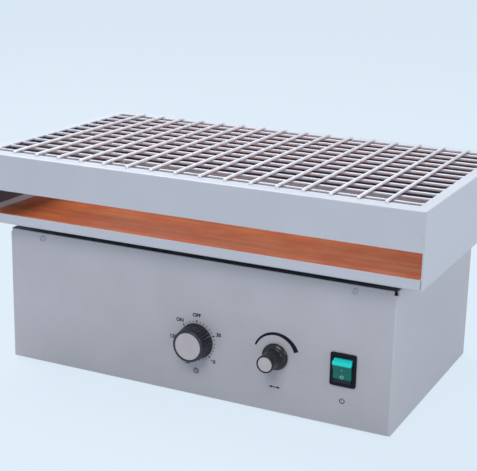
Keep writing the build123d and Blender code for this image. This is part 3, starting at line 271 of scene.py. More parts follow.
half_swing = add_maths(surface_skin, "SUBTRACT", broad.outputs["Fac"], noise_middle)
swing = add_maths(surface_skin, "MULTIPLY", half_swing, swing_gain)
depth = add_maths(surface_skin, "MULTIPLY", swing, skin_in.outputs["Mottle"])
shade = add_maths(surface_skin, "ADD", depth, 1.0)
tone = surface_skin.nodes.new("ShaderNodeCombineColor")
for channel in ("Red", "Green", "Blue"):
    surface_skin.links.new(shade, tone.inputs[channel])
plain = skin_in.outputs["Color"]
mottled = add_colour_mix(surface_skin, "MULTIPLY", 1.0, plain, tone.outputs["Color"])
speckled = add_colour_mix(surface_skin, "MULTIPLY", speck_mask, mottled, speck_grey)
surface_skin.links.new(speckled, skin_out.inputs["Color"])
gloss_swing = add_maths(surface_skin, "MULTIPLY", swing, skin_in.outputs["Rub"])
rubbed = add_maths(surface_skin, "ADD", skin_in.outputs["Roughness"], gloss_swing)
surface_skin.links.new(rubbed, skin_out.inputs["Roughness"])
surface_skin.links.new(grain.outputs["Fac"], skin_out.inputs["Height"])


def skin_material(name, colour, roughness, mottle=mottle_depth, spread=mottle_scale,
                  grain=peel_scale, bump=0.25, metallic=0.0, specular=0.5):
    """A material with the surface skin: its colour, its mottling, its grain and its gloss."""
    material = bpy.data.materials.new(name)
    material.use_nodes = True
    tree = material.node_tree
    shader = tree.nodes["Principled BSDF"]
    coords = tree.nodes.new("ShaderNodeTexCoord")
    skin = tree.nodes.new("ShaderNodeGroup")
    skin.name = "skin"
    skin.node_tree = surface_skin
    skin.inputs["Color"].default_value = (*colour, 1)
    skin.inputs["Roughness"].default_value = roughness
    skin.inputs["Mottle"].default_value = mottle
    skin.inputs["Mottle Scale"].default_value = spread
    skin.inputs["Grain Scale"].default_value = grain
    tree.links.new(coords.outputs["Object"], skin.inputs["Vector"])
    tree.links.new(skin.outputs["Color"], shader.inputs["Base Color"])
    tree.links.new(skin.outputs["Roughness"], shader.inputs["Roughness"])
    relief = tree.nodes.new("ShaderNodeBump")
    relief.inputs["Strength"].default_value = bump
    relief.inputs["Distance"].default_value = peel_height
    tree.links.new(skin.outputs["Height"], relief.inputs["Height"])
    tree.links.new(relief.outputs["Normal"], shader.inputs["Normal"])
    shader.inputs["Metallic"].default_value = metallic
    shader.inputs["Specular IOR Level"].default_value = specular
    material.diffuse_color = (*colour, 1)
    return material


def finish_nodes(material, *names):
    """Give CAD nodes their finish."""
    for name in names:
        cad[name].data.materials.clear()
        cad[name].data.materials.append(material)


housing_paint = skin_material("housing_paint", paint_grey, paint_roughness)
finish_nodes(housing_paint, "housing_wrap", "rear_panel")
# The lid under the tray is coloured near-black as painted shade from the tray above it.
deck_shade_paint = skin_material("deck_shade_paint", deck_painted_shade, roughness=0.6, mottle=0.08)
finish_nodes(deck_shade_paint, "deck_plate")
base_zinc = skin_material(
    "zinc_plate", plated_grey, roughness=0.38, mottle=0.12, spread=60, grain=900, metallic=1.0
)
finish_nodes(base_zinc, "base_plate")


# Rubber feet: four black moulded pads with a matt, dusty skin. Each is held up against the base
# by a screw through its middle.
foot_black = (0.028, 0.028, 0.030)
foot_rubber = skin_material(
    "foot_rubber", foot_black, roughness=0.78, mottle=0.14, grain=1500, bump=0.4
)
finish_nodes(foot_rubber, "rubber_feet")


# Tray: sides, bands, pan and inner ledges of folded steel, in a stoved paint a little paler and
# bluer than the housing's. Inside, under the flanges, the walls are painted a dull dark plum-grey
# as painted shade.
tray_grey = (0.570, 0.590, 0.660)
tray_roughness = 0.36
tray_mottle = 0.03
# Painted shade inside the tray: plum-grey on the bands and ledges, a lighter grey on the sides.
inside_shade_plum = (0.030, 0.032, 0.056, 1)
side_inside_shade = (0.125, 0.105, 0.118, 1)
inside_shade_dulling = 0.3
inside_shade_edge = 0.0002
wall = 0.0015
clear_of_wall = 0.0003
tray_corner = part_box("tray_side_right")[1]
inner_reach = tray_corner - Vector((wall, wall, wall))
inner_reach += Vector((clear_of_wall, clear_of_wall, -clear_of_wall))


def add_painted_inside_shade(material, inside_shade):
    """Painted shade on the faces inside the tray, found by their place under the flanges."""
    tree = material.node_tree
    shader = tree.nodes["Principled BSDF"]
    place = tree.nodes.new("ShaderNodeSeparateXYZ")
    tree.links.new(tree.nodes["Texture Coordinate"].outputs["Object"], place.inputs["Vector"])
    inside = None
    for axis, reach in zip("XYZ", inner_reach):
        distance = add_maths(tree, "ABSOLUTE", place.outputs[axis])
        within = add_range(tree, distance, reach - inside_shade_edge, reach + inside_shade_edge, 1, 0)
        inside = within if inside is None else add_maths(tree, "MULTIPLY", inside, within)
    shaded_inside = add_colour_mix(tree, "MIX", inside, tree.nodes["skin"].outputs["Color"], inside_shade)
    tree.links.new(shaded_inside, shader.inputs["Base Color"])
    dulling = add_maths(tree, "MULTIPLY", inside, inside_shade_dulling)
    dulled = add_maths(tree, "ADD", tree.nodes["skin"].outputs["Roughness"], dulling)
    tree.links.new(dulled, shader.inputs["Roughness"])


# The colours inside are painted shade, and the same faces are also given more roughness.
for paint_name, inside_shade, painted in (
    ("tray_paint", None, ("tray_pan",)),
    ("tray_paint_inside_shade", inside_shade_plum, ("tray_band_front", "tray_band_rear", "grid_ledges")),
    ("side_tray_paint", side_inside_shade, ("tray_side_left", "tray_side_right")),
):
    paint = skin_material(paint_name, tray_grey, tray_roughness, mottle=tray_mottle)
    if inside_shade is not None:
        add_painted_inside_shade(paint, inside_shade)
    finish_nodes(paint, *painted)


# Board in the tray: a thin sheet of orange-brown wood with its grain along the tray, laid on the
# pan. Its satin varnish pools a little, and is darker and redder in places.
board_light = (0.620, 0.172, 0.042, 1)
board_dark = (0.420, 0.095, 0.026, 1)
board_red = (0.450, 0.078, 0.020, 1)
pore_brown = (0.26, 0.065, 0.025, 1)
figure_stretch = (5.0, 120.0, 40.0)
figure_warp = 0.35
figure_range = (0.36, 0.66)
figure_height = 0.00008
figure_relief = 0.35
pore_stretch = (30.0, 900.0, 200.0)
pore_range = (0.56, 0.74)
pore_cover = 0.4
patch_stretch = (34.0, 52.0, 30.0)
patch_range = (0.44, 0.64)
patch_cover = 0.70
pool_range = (0.3, 0.7)
varnish_roughness = (0.30, 0.42)
varnish_specular = 0.25
coat_weight = 0.04
coat_roughness = 0.2

board_wood = bpy.data.materials.new("varnished_board")
board_wood.use_nodes = True
wood_tree = board_wood.node_tree
wood_shader = wood_tree.nodes["Principled BSDF"]
wood_coords = wood_tree.nodes.new("ShaderNodeTexCoord").outputs["Object"]
figure = add_noise(wood_tree, wood_coords, scale=1.0, detail=5, stretch=figure_stretch)
figure.inputs["Distortion"].default_value = figure_warp
pores = add_noise(wood_tree, wood_coords, scale=1.0, detail=3, stretch=pore_stretch)
patches = add_noise(wood_tree, wood_coords, scale=1.0, detail=4, stretch=patch_stretch)
figure_mask = add_range(wood_tree, figure.outputs["Fac"], *figure_range, 0, 1)
grained = add_colour_mix(wood_tree, "MIX", figure_mask, board_dark, board_light)
pore_mask = add_range(wood_tree, pores.outputs["Fac"], *pore_range, 0, pore_cover)
pored = add_colour_mix(wood_tree, "MIX", pore_mask, grained, pore_brown)
patch_mask = add_range(wood_tree, patches.outputs["Fac"], *patch_range, 0, patch_cover)
patched = add_colour_mix(wood_tree, "MIX", patch_mask, pored, board_red)
pooled = add_range(wood_tree, patches.outputs["Fac"], *pool_range, *varnish_roughness)
wood_tree.links.new(patched, wood_shader.inputs["Base Color"])
wood_tree.links.new(pooled, wood_shader.inputs["Roughness"])
wood_relief = wood_tree.nodes.new("ShaderNodeBump")
wood_relief.inputs["Strength"].default_value = figure_relief
wood_relief.inputs["Distance"].default_value = figure_height
wood_tree.links.new(figure.outputs["Fac"], wood_relief.inputs["Height"])
wood_tree.links.new(wood_relief.outputs["Normal"], wood_shader.inputs["Normal"])
wood_shader.inputs["Specular IOR Level"].default_value = varnish_specular
wood_shader.inputs["Coat Weight"].default_value = coat_weight
wood_shader.inputs["Coat Roughness"].default_value = coat_roughness
finish_nodes(board_wood, "tray_board")


# Wires from front to back: steel rods dipped in a smooth white coating. They lie on the cross
# bars, and each end is welded down on a flange, where the coating gathers in a small bead.
upper_white = (0.800, 0.810, 0.865)
upper_count = 16
wire_sides = 16
bead_length = 0.0030
bead_shoulder = 0.25
bead_swell = 1.14
bead_sink = 0.0007
bead_tip = 0.70
facing = 0.9


def open_for_editing(piece):
    """Put one piece in edit mode with nothing of it selected."""
    deselect()
    piece.select_set(True)
    bpy.context.view_layer.objects.active = piece
    bpy.ops.object.mode_set(mode="EDIT")
    bpy.ops.mesh.select_mode(type="FACE")
    bpy.ops.mesh.select_all(action="DESELECT")


def pick(piece, kind, wanted):
    """In edit mode, select the faces, edges or verts that pass a test, and nothing else."""
    bpy.ops.mesh.select_all(action="DESELECT")
    shape = bmesh.from_edit_mesh(piece.data)
    for item in getattr(shape, kind):
        if wanted(item):
            item.select_set(True)
    bmesh.update_edit_mesh(piece.data)


def push(offset):
    """Extrude what is selected along an offset."""
    bpy.ops.mesh.extrude_region_move(TRANSFORM_OT_translate={"value": offset})


def scale_about(centre, factors):
    """Scale what is selected about a point."""
    bpy.ops.transform.resize(value=factors, center_override=centre)


def close_editing(piece, angle=50):
    """Leave edit mode, put the place into the mesh and shade it smooth up to an angle."""
    bpy.ops.mesh.select_all(action="SELECT")
    bpy.ops.mesh.normals_make_consistent(inside=False)
    bpy.ops.object.mode_set(mode="OBJECT")
    deselect()
    piece.select_set(True)
    bpy.context.view_layer.objects.active = piece
    bpy.ops.object.transform_apply(location=True, rotation=True, scale=True)
    bpy.ops.object.shade_smooth_by_angle(angle=math.radians(angle))


def copy_piece(piece, place=(0, 0, 0), turn=(0, 0, 0)):
    """A copy of a finished piece with its own mesh, moved and turned about the origin."""
    copy = piece.copy()
    copy.data = piece.data.copy()
    bpy.context.scene.collection.objects.link(copy)
    copy.location = place
    copy.rotation_euler = turn
    return copy


def join_pieces(name, members):
    """Join pieces into one mesh at the origin."""
    deselect()
    for member in members:
        member.select_set(True)
    bpy.context.view_layer.objects.active = members[0]
    bpy.ops.object.transform_apply(location=True, rotation=True, scale=True)
    if len(members) > 1:
        bpy.ops.object.join()
    piece = bpy.context.object
    piece.name = name
    piece.data.name = name
    return piece


def add_rod(name, radius, length, place, along):
    """A plain rod lying along x or y at a place."""
    deselect()
    bpy.ops.mesh.primitive_cylinder_add(
        vertices=wire_sides,
        radius=radius,
        depth=length,
        end_fill_type="NGON",
        location=place,
        rotation=(math.pi / 2, 0, 0) if along == "Y" else (0, math.pi / 2, 0),
    )
    rod = bpy.context.object
    rod.name = name
    bpy.ops.object.transform_apply(location=True, rotation=True, scale=True)
    return rod


upper_low, upper_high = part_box("grid_wires_front_to_back")
wire_radius = (upper_high.z - upper_low.z) / 2
upper_pitch = (upper_high.x - upper_low.x - 2 * wire_radius) / (upper_count - 1)
upper_z = upper_low.z + wire_radius
wire_x = upper_low.x + wire_radius
plain_half = upper_high.y - bead_length

upper_wire = add_rod("upper_wire", wire_radius, 2 * plain_half, (wire_x, 0, upper_z), "Y")
open_for_editing(upper_wire)
for side in (-1, 1):
    end_middle = Vector((wire_x, side * plain_half, upper_z))
    pick(upper_wire, "faces", lambda face: face.normal.y * side > facing)
    push((0, side * bead_length * bead_shoulder, -bead_sink))
    scale_about(end_middle, (bead_swell, 1, bead_swell))
    push((0, side * bead_length * (1 - 2 * bead_shoulder), 0))
    push((0, side * bead_length * bead_shoulder, 0))
    scale_about(end_middle, (bead_tip, 1, bead_tip))
close_editing(upper_wire)
upper_wires = [upper_wire]
for step in range(1, upper_count):
    upper_wires.append(copy_piece(upper_wire, (step * upper_pitch, 0, 0)))
upper_row = join_pieces("upper_wires", upper_wires)
upper_coating = skin_material(
    "upper_wire_coating", upper_white, roughness=0.30, mottle=0.03, grain=1400, bump=0.2
)
upper_row.data.materials.append(upper_coating)
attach(upper_row, "tray")
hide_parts("grid_wires_front_to_back")


# Cross bars from left to right: the same rods, set between the side flanges with their ends
# welded to the flange edges. Their coating is painted greyer than the upper wires' as painted shade.
# Painted shade: the upper wires' white coating, darkened for the lower bars.
bar_painted_shade_white = (0.530, 0.570, 0.650)
lower_count = 12
collar_length = 0.0016
collar_shoulder = 0.4
collar_swell = 1.22

lower_low, lower_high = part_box("grid_wires_left_to_right")
lower_pitch = (lower_high.y - lower_low.y - 2 * wire_radius) / (lower_count - 1)
lower_z = lower_low.z + wire_radius
bar_y = lower_low.y + wire_radius
bar_half = lower_high.x - collar_length

lower_bar = add_rod("lower_bar", wire_radius, 2 * bar_half, (0, bar_y, lower_z), "X")
open_for_editing(lower_bar)
for side in (-1, 1):
    end_middle = Vector((side * bar_half, bar_y, lower_z))
    pick(lower_bar, "faces", lambda face: face.normal.x * side > facing)
    push((side * collar_length * collar_shoulder, 0, 0))
    scale_about(end_middle, (1, collar_swell, collar_swell))
    push((side * collar_length * (1 - collar_shoulder), 0, 0))
close_editing(lower_bar)
lower_bars = [lower_bar]
for step in range(1, lower_count):
    lower_bars.append(copy_piece(lower_bar, (0, step * lower_pitch, 0)))
lower_row = join_pieces("cross_bars", lower_bars)
bar_shaded_coating = skin_material(
    "cross_bar_coating_painted_shade", bar_painted_shade_white, roughness=0.34, mottle=0.05, grain=1400, bump=0.2
)
lower_row.data.materials.append(bar_shaded_coating)
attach(lower_row, "tray")
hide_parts("grid_wires_left_to_right")


# Timer scale: black printing on the panel round the timer knob. Off stands at the top, on to the
# left of it, and the minutes run clockwise with 32 ticks to the turn, bare between 120 and on.
front_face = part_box("housing_wrap")[0].y
ink_lift = 0.00006
ink_depth = 0.00004
ink_black = (0.014, 0.014, 0.024)
timer_low, timer_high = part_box("timer_knob")
timer_x = (timer_low.x + timer_high.x) / 2
control_z = (timer_low.z + timer_high.z) / 2
tick_inner = 0.0188
tick_outer = 0.0202
tick_width = 0.00080
long_tick_outer = 0.0210
long_tick_width = 0.00128
tick_count = 32
bare_from = 270
bare_to = 315
label_radius = 0.0258
label_size = 0.0050
label_swell = 0.00020
timer_labels = [(0, "OFF"), (-45, "ON"), (67.5, "30"), (135, "60"), (202.5, "90"), (270, "120")]

panel_ink = skin_material(
    "panel_ink", ink_black, roughness=0.55, mottle=0.1, grain=1200, bump=0.1, specular=0.1
)


def add_strip(name, width, height, z):
    """A flat strip that faces the front, in edit mode and selected all over."""
    deselect()
    bpy.ops.mesh.primitive_plane_add(size=1, location=(0, 0, 0), rotation=(math.pi / 2, 0, 0))
    strip = bpy.context.object
    strip.name = name
    bpy.ops.object.transform_apply(location=True, rotation=True, scale=True)
    open_for_editing(strip)
    bpy.ops.mesh.select_all(action="SELECT")
    scale_about((0, 0, 0), (width, 1, height))
    bpy.ops.transform.translate(value=(0, 0, z))
    return strip


def add_tick(name, inner, outer, width):
    """A printed tick above the middle of a dial that lies at the origin, facing the front."""
    tick = add_strip(name, width, outer - inner, (inner + outer) / 2)
    push((0, -ink_depth, 0))
    close_editing(tick)
    return tick


def add_words(words, size, x, z):
    """Words printed on the front panel, centred on a point."""
    deselect()
    bpy.ops.object.text_add(location=(x, front_face - ink_lift, z), rotation=(math.pi / 2, 0, 0))
    label = bpy.context.object
    label.data.body = words
    label.data.size = size
    label.data.align_x = "CENTER"
    label.data.align_y = "CENTER"
    label.data.offset = label_swell
    label.data.extrude = ink_depth / 2
    bpy.ops.object.convert(target="MESH")
    return bpy.context.object


def finish_print(name, members):
    """Join printed marks into one piece of panel ink that stays with the housing."""
    piece = join_pieces(name, members)
    piece.data.materials.clear()
    piece.data.materials.append(panel_ink)
    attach(piece, "base")


dial_middle = (timer_x, front_face - ink_lift, control_z)
short_tick = add_tick("short_tick", tick_inner, tick_outer, tick_width)
long_tick = add_tick("long_tick", tick_inner, long_tick_outer, long_tick_width)
labelled = [degrees % 360 for degrees, words in timer_labels]
marks = []
for step in range(tick_count):
    degrees = step * 360 / tick_count
    if bare_from < degrees < bare_to:
        continue
    pattern = long_tick if degrees in labelled else short_tick
    marks.append(copy_piece(pattern, dial_middle, (0, math.radians(degrees), 0)))
for pattern in (short_tick, long_tick):
    bpy.data.objects.remove(pattern)
for degrees, words in timer_labels:
    turn = math.radians(degrees)
    label_x = timer_x + label_radius * math.sin(turn)
    label_z = control_z + label_radius * math.cos(turn)
    marks.append(add_words(words, label_size, label_x, label_z))
finish_print("timer_scale", marks)


# Speed scale: a printed black crescent over the speed knob that widens from slow to fast. It is
# drawn out from its thin end in short steps, each a little further round and a little wider.
speed_low, speed_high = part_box("speed_knob")
speed_x = (speed_low.x + speed_high.x) / 2
crescent_radius = 0.0223
crescent_from = math.radians(-69)
crescent_to = math.radians(70)
crescent_thin = 0.0019
crescent_thick = 0.0050
crescent_steps = 36

step_turn = (crescent_to - crescent_from) / crescent_steps
growth = (crescent_thick / crescent_thin) ** (1 / crescent_steps)
step_length = crescent_radius * step_turn


def on_crescent(steps):
    """The point that lies that many steps clockwise from the top, on the crescent's middle line."""
    turn = steps * step_turn
    return Vector((math.sin(turn), 0, math.cos(turn))) * crescent_radius


crescent = add_strip("crescent", step_length, crescent_thin, crescent_radius)
bpy.ops.mesh.select_mode(type="EDGE")
pick(crescent, "edges", lambda edge: all(vert.co.x > 0 for vert in edge.verts))
for step in range(1, crescent_steps):
    after = on_crescent(step + 0.5)
    push(tuple(after - on_crescent(step - 0.5)))
    bpy.ops.transform.rotate(value=-step_turn, orient_axis="Y", center_override=after)
    scale_about(after, (growth, growth, growth))
bpy.ops.mesh.select_all(action="SELECT")
push((0, -ink_depth, 0))
close_editing(crescent)
crescent_print = copy_piece(
    crescent, (speed_x, front_face - ink_lift, control_z), (0, crescent_from + step_turn / 2, 0)
)
bpy.data.objects.remove(crescent)
finish_print("speed_scale", [crescent_print])


# Signs under the controls: plain pictures printed in the same ink, a clock face for the timer, a
# two-headed arrow for the shaking and a ring cut by a bar for the mains switch.
sign_z = 0.0280
sign_line = 0.00080
ring_sides = 40
clock_radius = 0.0029
hand_start = -0.0002
minute_reach = 0.72
hour_reach = 0.55
arrow_half = 0.0056
arrow_head = 0.0018
head_shape = (0.8, 1, 1.2)
power_radius = 0.0027
power_gap = 0.72
power_bar_from = 0.0004
power_bar_reach = 1.15
rocker_low, rocker_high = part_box("rocker")
switch_x = (rocker_low.x + rocker_high.x) / 2


def add_disc(name, sides, radius, place=(0, 0, 0)):
    """A disc that faces the front, in edit mode and selected all over."""
    deselect()
    bpy.ops.mesh.primitive_circle_add(
        vertices=sides, radius=radius, fill_type="NGON", location=place, rotation=(math.pi / 2, 0, 0)
    )
    disc = bpy.context.object
    disc.name = name
    bpy.ops.object.transform_apply(location=True, rotation=True, scale=True)
    open_for_editing(disc)
    bpy.ops.mesh.select_all(action="SELECT")
    return disc


def add_ring(name, radius, line, gap_above=None):
    """A printed ring at the origin, facing the front: a disc, inset, with its middle cut out."""
    ring = add_disc(name, ring_sides, radius)
    bpy.ops.mesh.inset(thickness=line, depth=0)
    bpy.ops.mesh.delete(type="FACE")
    if gap_above is not None:
        pick(ring, "faces", lambda face: face.calc_center_median().z > gap_above)
        bpy.ops.mesh.delete(type="FACE")
    bpy.ops.mesh.select_all(action="SELECT")
    push((0, -ink_depth, 0))
    close_editing(ring)
    return ring


clock_ring = add_ring("clock_ring", clock_radius, sign_line)
minute_hand = add_tick("minute_hand", hand_start, clock_radius * minute_reach, sign_line)
hour_hand = add_tick("hour_hand", hand_start, clock_radius * hour_reach, sign_line)
hour_hand.rotation_euler = (0, math.radians(90), 0)
for member in (clock_ring, minute_hand, hour_hand):
    member.location = (timer_x, front_face - ink_lift, sign_z)
finish_print("timer_sign", [clock_ring, minute_hand, hour_hand])

arrow_shaft = add_tick("arrow_shaft", -arrow_half + arrow_head, arrow_half - arrow_head, sign_line)
arrow_members = [arrow_shaft]
for side in (-1, 1):
    head = add_disc("arrow_head", sides=3, radius=arrow_head)
    scale_about((0, 0, 0), head_shape)
    bpy.ops.transform.translate(value=(0, 0, arrow_half - arrow_head))
    push((0, -ink_depth, 0))
    close_editing(head)
    head.rotation_euler = (0, 0 if side > 0 else math.pi, 0)
    arrow_members.append(head)
arrow = join_pieces("arrow", arrow_members)
arrow.rotation_euler = (0, math.radians(90), 0)
arrow.location = (speed_x, front_face - ink_lift, sign_z)
finish_print("speed_sign", [arrow])

power_ring = add_ring("power_ring", power_radius, sign_line, gap_above=power_radius * power_gap)
power_bar = add_tick("power_bar", power_bar_from, power_radius * power_bar_reach, sign_line)
for member in (power_ring, power_bar):
    member.location = (switch_x, front_face - ink_lift, sign_z)
finish_print("power_sign", [power_ring, power_bar])


# Timer knob: black moulded plastic, tapered and fluted, with a smooth raised rim at its face and
# a recess for the disc. It is drawn up from its back ring by ring, and its flutes are pressed in.
knob_black = (0.026, 0.026, 0.036)
timer_sides = 160
timer_every = 5
timer_flute_depth = 0.00130
flute_slope = 0.55
on_ring = 0.00001
knob_smoothing = 35


def draw_knob(name, centre_x, sides, rings):
    """A knob drawn forwards from a back disc. Each ring is (radius, y), from the back."""
    radius, y = rings[0]
    knob = add_disc(name, sides, radius, (centre_x, y, control_z))
    for next_radius, next_y in rings[1:]:
        push((0, next_y - y, 0))
        ratio = next_radius / radius
        scale_about((centre_x, next_y, control_z), (ratio, 1, ratio))
        radius, y = next_radius, next_y
    return knob


def press_flutes(knob, centre_x, sides, every, rings, depth):
    """On each ring, every so many points one moves in by the depth, and its neighbours less."""
    bpy.ops.mesh.select_mode(type="VERT")
    for radius, y in rings:
        for share, offsets in ((1.0, (0,)), (flute_slope, (1, every - 1))):
            def in_flute(vert):
                across, up = vert.co.x - centre_x, vert.co.z - control_z
                if abs(vert.co.y - y) > on_ring or abs(math.hypot(across, up) - radius) > on_ring:
                    return False
                index = round(math.atan2(across, up) / (2 * math.pi) * sides)
                return index % every in offsets

            pick(knob, "verts", in_flute)
            ratio = (radius - depth * share) / radius
            scale_about((centre_x, y, control_z), (ratio, 1, ratio))


timer_back = timer_high.y
timer_face = timer_low.y
timer_base = (timer_high.x - timer_low.x) / 2
disc_low, disc_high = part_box("timer_knob_disc")
disc_radius = (disc_high.x - disc_low.x) / 2
disc_face = disc_low.y
timer_top = timer_base - 0.0022
flute_back = (timer_base - 0.0002, timer_back - 0.0013)
flute_front = (timer_top + 0.0003, timer_face + 0.0016)
timer_rings = [
    (timer_base - 0.0005, timer_back),
    (timer_base, timer_back - 0.0004),
    (timer_base, timer_back - 0.0010),
    flute_back,
    flute_front,
    (timer_top + 0.0002, timer_face + 0.0011),
    (timer_top + 0.0001, timer_face + 0.0006),
    (timer_top - 0.0004, timer_face + 0.0001),
    (timer_top - 0.0009, timer_face),
    (disc_radius + 0.0004, timer_face + 0.0001),
    (disc_radius + 0.0001, timer_face + 0.0005),
    (disc_radius + 0.0001, disc_face + 0.0004),
]
timer_grip = draw_knob("timer_grip", timer_x, timer_sides, timer_rings)
timer_flutes = (flute_back, flute_front)
press_flutes(timer_grip, timer_x, timer_sides, timer_every, timer_flutes, timer_flute_depth)
close_editing(timer_grip, knob_smoothing)
knob_plastic = skin_material(
    "knob_plastic", knob_black, roughness=0.23, mottle=0.2, grain=1800, bump=0.15, specular=0.4
)
timer_grip.data.materials.append(knob_plastic)
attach(timer_grip, "timer_dial")
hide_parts("timer_knob")


# Knob discs: soft aluminium turned on a lathe, so that fine rings catch the light. They are let
# into the knobs' faces and glued.
disc_silver = (0.540, 0.470, 0.485)
ring_pitch = 0.00040
ring_height = 0.00002
ring_relief = 0.35


def spun_material(name, centre_x, roughness):
    """Pale metal with turned rings round a control's axis."""
    material = skin_material(
        name, disc_silver, roughness, mottle=0.05, spread=90, grain=2200, metallic=0.85
    )
    tree = material.node_tree
    centred = tree.nodes.new("ShaderNodeMapping")
    centred.inputs["Location"].default_value = (-centre_x, 0, -control_z)
    centred.inputs["Scale"].default_value = (1, 0, 1)
    tree.links.new(tree.nodes["Texture Coordinate"].outputs["Object"], centred.inputs["Vector"])
    reach = tree.nodes.new("ShaderNodeVectorMath")
    reach.operation = "LENGTH"
    tree.links.new(centred.outputs["Vector"], reach.inputs[0])
    phase = add_maths(tree, "MULTIPLY", reach.outputs["Value"], 2 * math.pi / ring_pitch)
    relief = tree.nodes["Bump"]
    relief.inputs["Strength"].default_value = ring_relief
    relief.inputs["Distance"].default_value = ring_height
    tree.links.new(add_maths(tree, "SINE", phase), relief.inputs["Height"])
    return material


timer_metal = spun_material("timer_disc_metal", timer_x, roughness=0.50)
finish_nodes(timer_metal, "timer_knob_disc")


# Speed knob: moulded in one piece of glossy black plastic, a skirt with a domed shoulder and a
# narrow fluted barrel that ends in a thin rim round a metal cap.
speed_back = speed_high.y
speed_face = speed_low.y
skirt_radius = (speed_high.x - speed_low.x) / 2
cap_low, cap_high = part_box("speed_knob_cap")
cap_radius = (cap_high.x - cap_low.x) / 2
cap_face = cap_low.y
barrel_radius = cap_radius + 0.0019
speed_black = (0.010, 0.009, 0.012)
speed_sides = 96
barrel_every = 4
barrel_flute_depth = 0.00050
barrel_back = (barrel_radius, speed_back - 0.0052)
barrel_front = (barrel_radius - 0.0003, speed_face + 0.0018)
speed_rings = [
    (skirt_radius - 0.0003, speed_back),
    (skirt_radius, speed_back - 0.0004),
    (skirt_radius, speed_back - 0.0014),
    (skirt_radius - 0.0003, speed_back - 0.0021),
    (skirt_radius - 0.0010, speed_back - 0.0029),
    (skirt_radius - 0.0020, speed_back - 0.0035),
    (skirt_radius - 0.0031, speed_back - 0.0040),
    (barrel_radius + 0.0005, speed_back - 0.0042),
    (barrel_radius + 0.0001, speed_back - 0.0045),
    barrel_back,
    barrel_front,
    (barrel_radius - 0.0003, speed_face + 0.0012),
    (barrel_radius - 0.0004, speed_face + 0.0004),
    (barrel_radius - 0.0008, speed_face),
    (cap_radius + 0.0003, speed_face + 0.0001),
    (cap_radius + 0.0001, speed_face + 0.0003),
    (cap_radius + 0.0001, cap_face + 0.0004),
]
speed_grip = draw_knob("speed_grip", speed_x, speed_sides, speed_rings)
barrel_flutes = (barrel_back, barrel_front)
press_flutes(speed_grip, speed_x, speed_sides, barrel_every, barrel_flutes, barrel_flute_depth)
close_editing(speed_grip, knob_smoothing)
speed_plastic = skin_material(
    "speed_knob_plastic", speed_black, roughness=0.17, mottle=0.2, grain=1800, bump=0.08, specular=0.4
)
speed_grip.data.materials.append(speed_plastic)
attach(speed_grip, "speed_dial")
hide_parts("speed_knob")
speed_metal = spun_material("speed_cap_metal", speed_x, roughness=0.45)
finish_nodes(speed_metal, "speed_knob_cap")


# Mains switch: a black moulded body that is pushed through the panel until it snaps in. Its
# bezel's face is slightly grained.
bezel_black = (0.007, 0.007, 0.013)
bezel_plastic = skin_material(
    "bezel_plastic", bezel_black, roughness=0.55, mottle=0.15, grain=2600, bump=0.3, specular=0.15
)
finish_nodes(bezel_plastic, "switch_body")


# Rocker: clear green plastic over a lamp. Its raised end is painted bright cyan as painted light,
# and its sunk end near-black as painted shade from the bezel. Its two faces meet in a shallow V,
# and a bar and a ring are moulded in and filled with pale paint.
rocker_axis_y = -0.1168
rocker_tilt = math.radians(11)
rocker_width = 0.0179
rocker_half = 0.0106
rocker_front = 0.0088
rocker_cheek = 0.0034
rocker_skirt = [(-0.0042, 0.0109), (-0.0026, 0.0114), (-0.0009, 0.01165), (0.0008, 0.01165)]
rocker_heel = 0.0040
rocker_back = 0.0026
rocker_valley = 0.0022
slope_size = 0.0018
slope_bulge = 0.42
rocker_round = 0.0004
closeness = 0.0001
rocker_teal = (0.0, 0.170, 0.140)
# Painted light: the lens's upper end is coloured bright cyan.
rocker_painted_light = (0.020, 0.780, 0.720, 1)
painted_light_from = 0.0050
painted_light_fade = 0.0009
# Painted shade: the lens's lower end, sunk in the bezel, is coloured near-black.
sunk_shade_green = (0.002, 0.016, 0.016, 1)
sunk_from = -0.0074
sunk_fade = 0.0012
mark_pale = (0.42, 0.66, 0.58)
mark_line = 0.0005
mark_lift = 0.00008
dash_half = 0.0013
dash_z = 0.0022
circle_radius = 0.0017
circle_z = -0.0048

deselect()
bpy.ops.mesh.primitive_cube_add(size=1, location=(0, 0, 0))
lens = bpy.context.object
lens.name = "rocker_lens"
open_for_editing(lens)
bpy.ops.mesh.select_all(action="SELECT")
scale_about((0, 0, 0), (rocker_width, rocker_cheek, 2 * rocker_half))
bpy.ops.transform.translate(value=(0, rocker_cheek / 2 - rocker_front, 0))
pick(lens, "faces", lambda face: face.normal.y > facing)
ring_y, ring_half = rocker_cheek - rocker_front, rocker_half
for next_y, next_half in rocker_skirt + [(rocker_back, rocker_heel)]:
    push((0, next_y - ring_y, 0))
    scale_about((0, next_y, 0), (1, 1, next_half / ring_half))
    ring_y, ring_half = next_y, next_half
bpy.ops.mesh.select_all(action="SELECT")
bpy.ops.mesh.bisect(plane_co=(0, 0, 0), plane_no=(0, 0, 1))


def at_front(vert):
    """Whether a point lies on the rocker's front face."""
    return vert.co.y < closeness - rocker_front


def at_raised_end(edge):
    """Whether an edge is the one between the front face and the raised end."""
    return all(vert.co.z > rocker_half - closeness and at_front(vert) for vert in edge.verts)


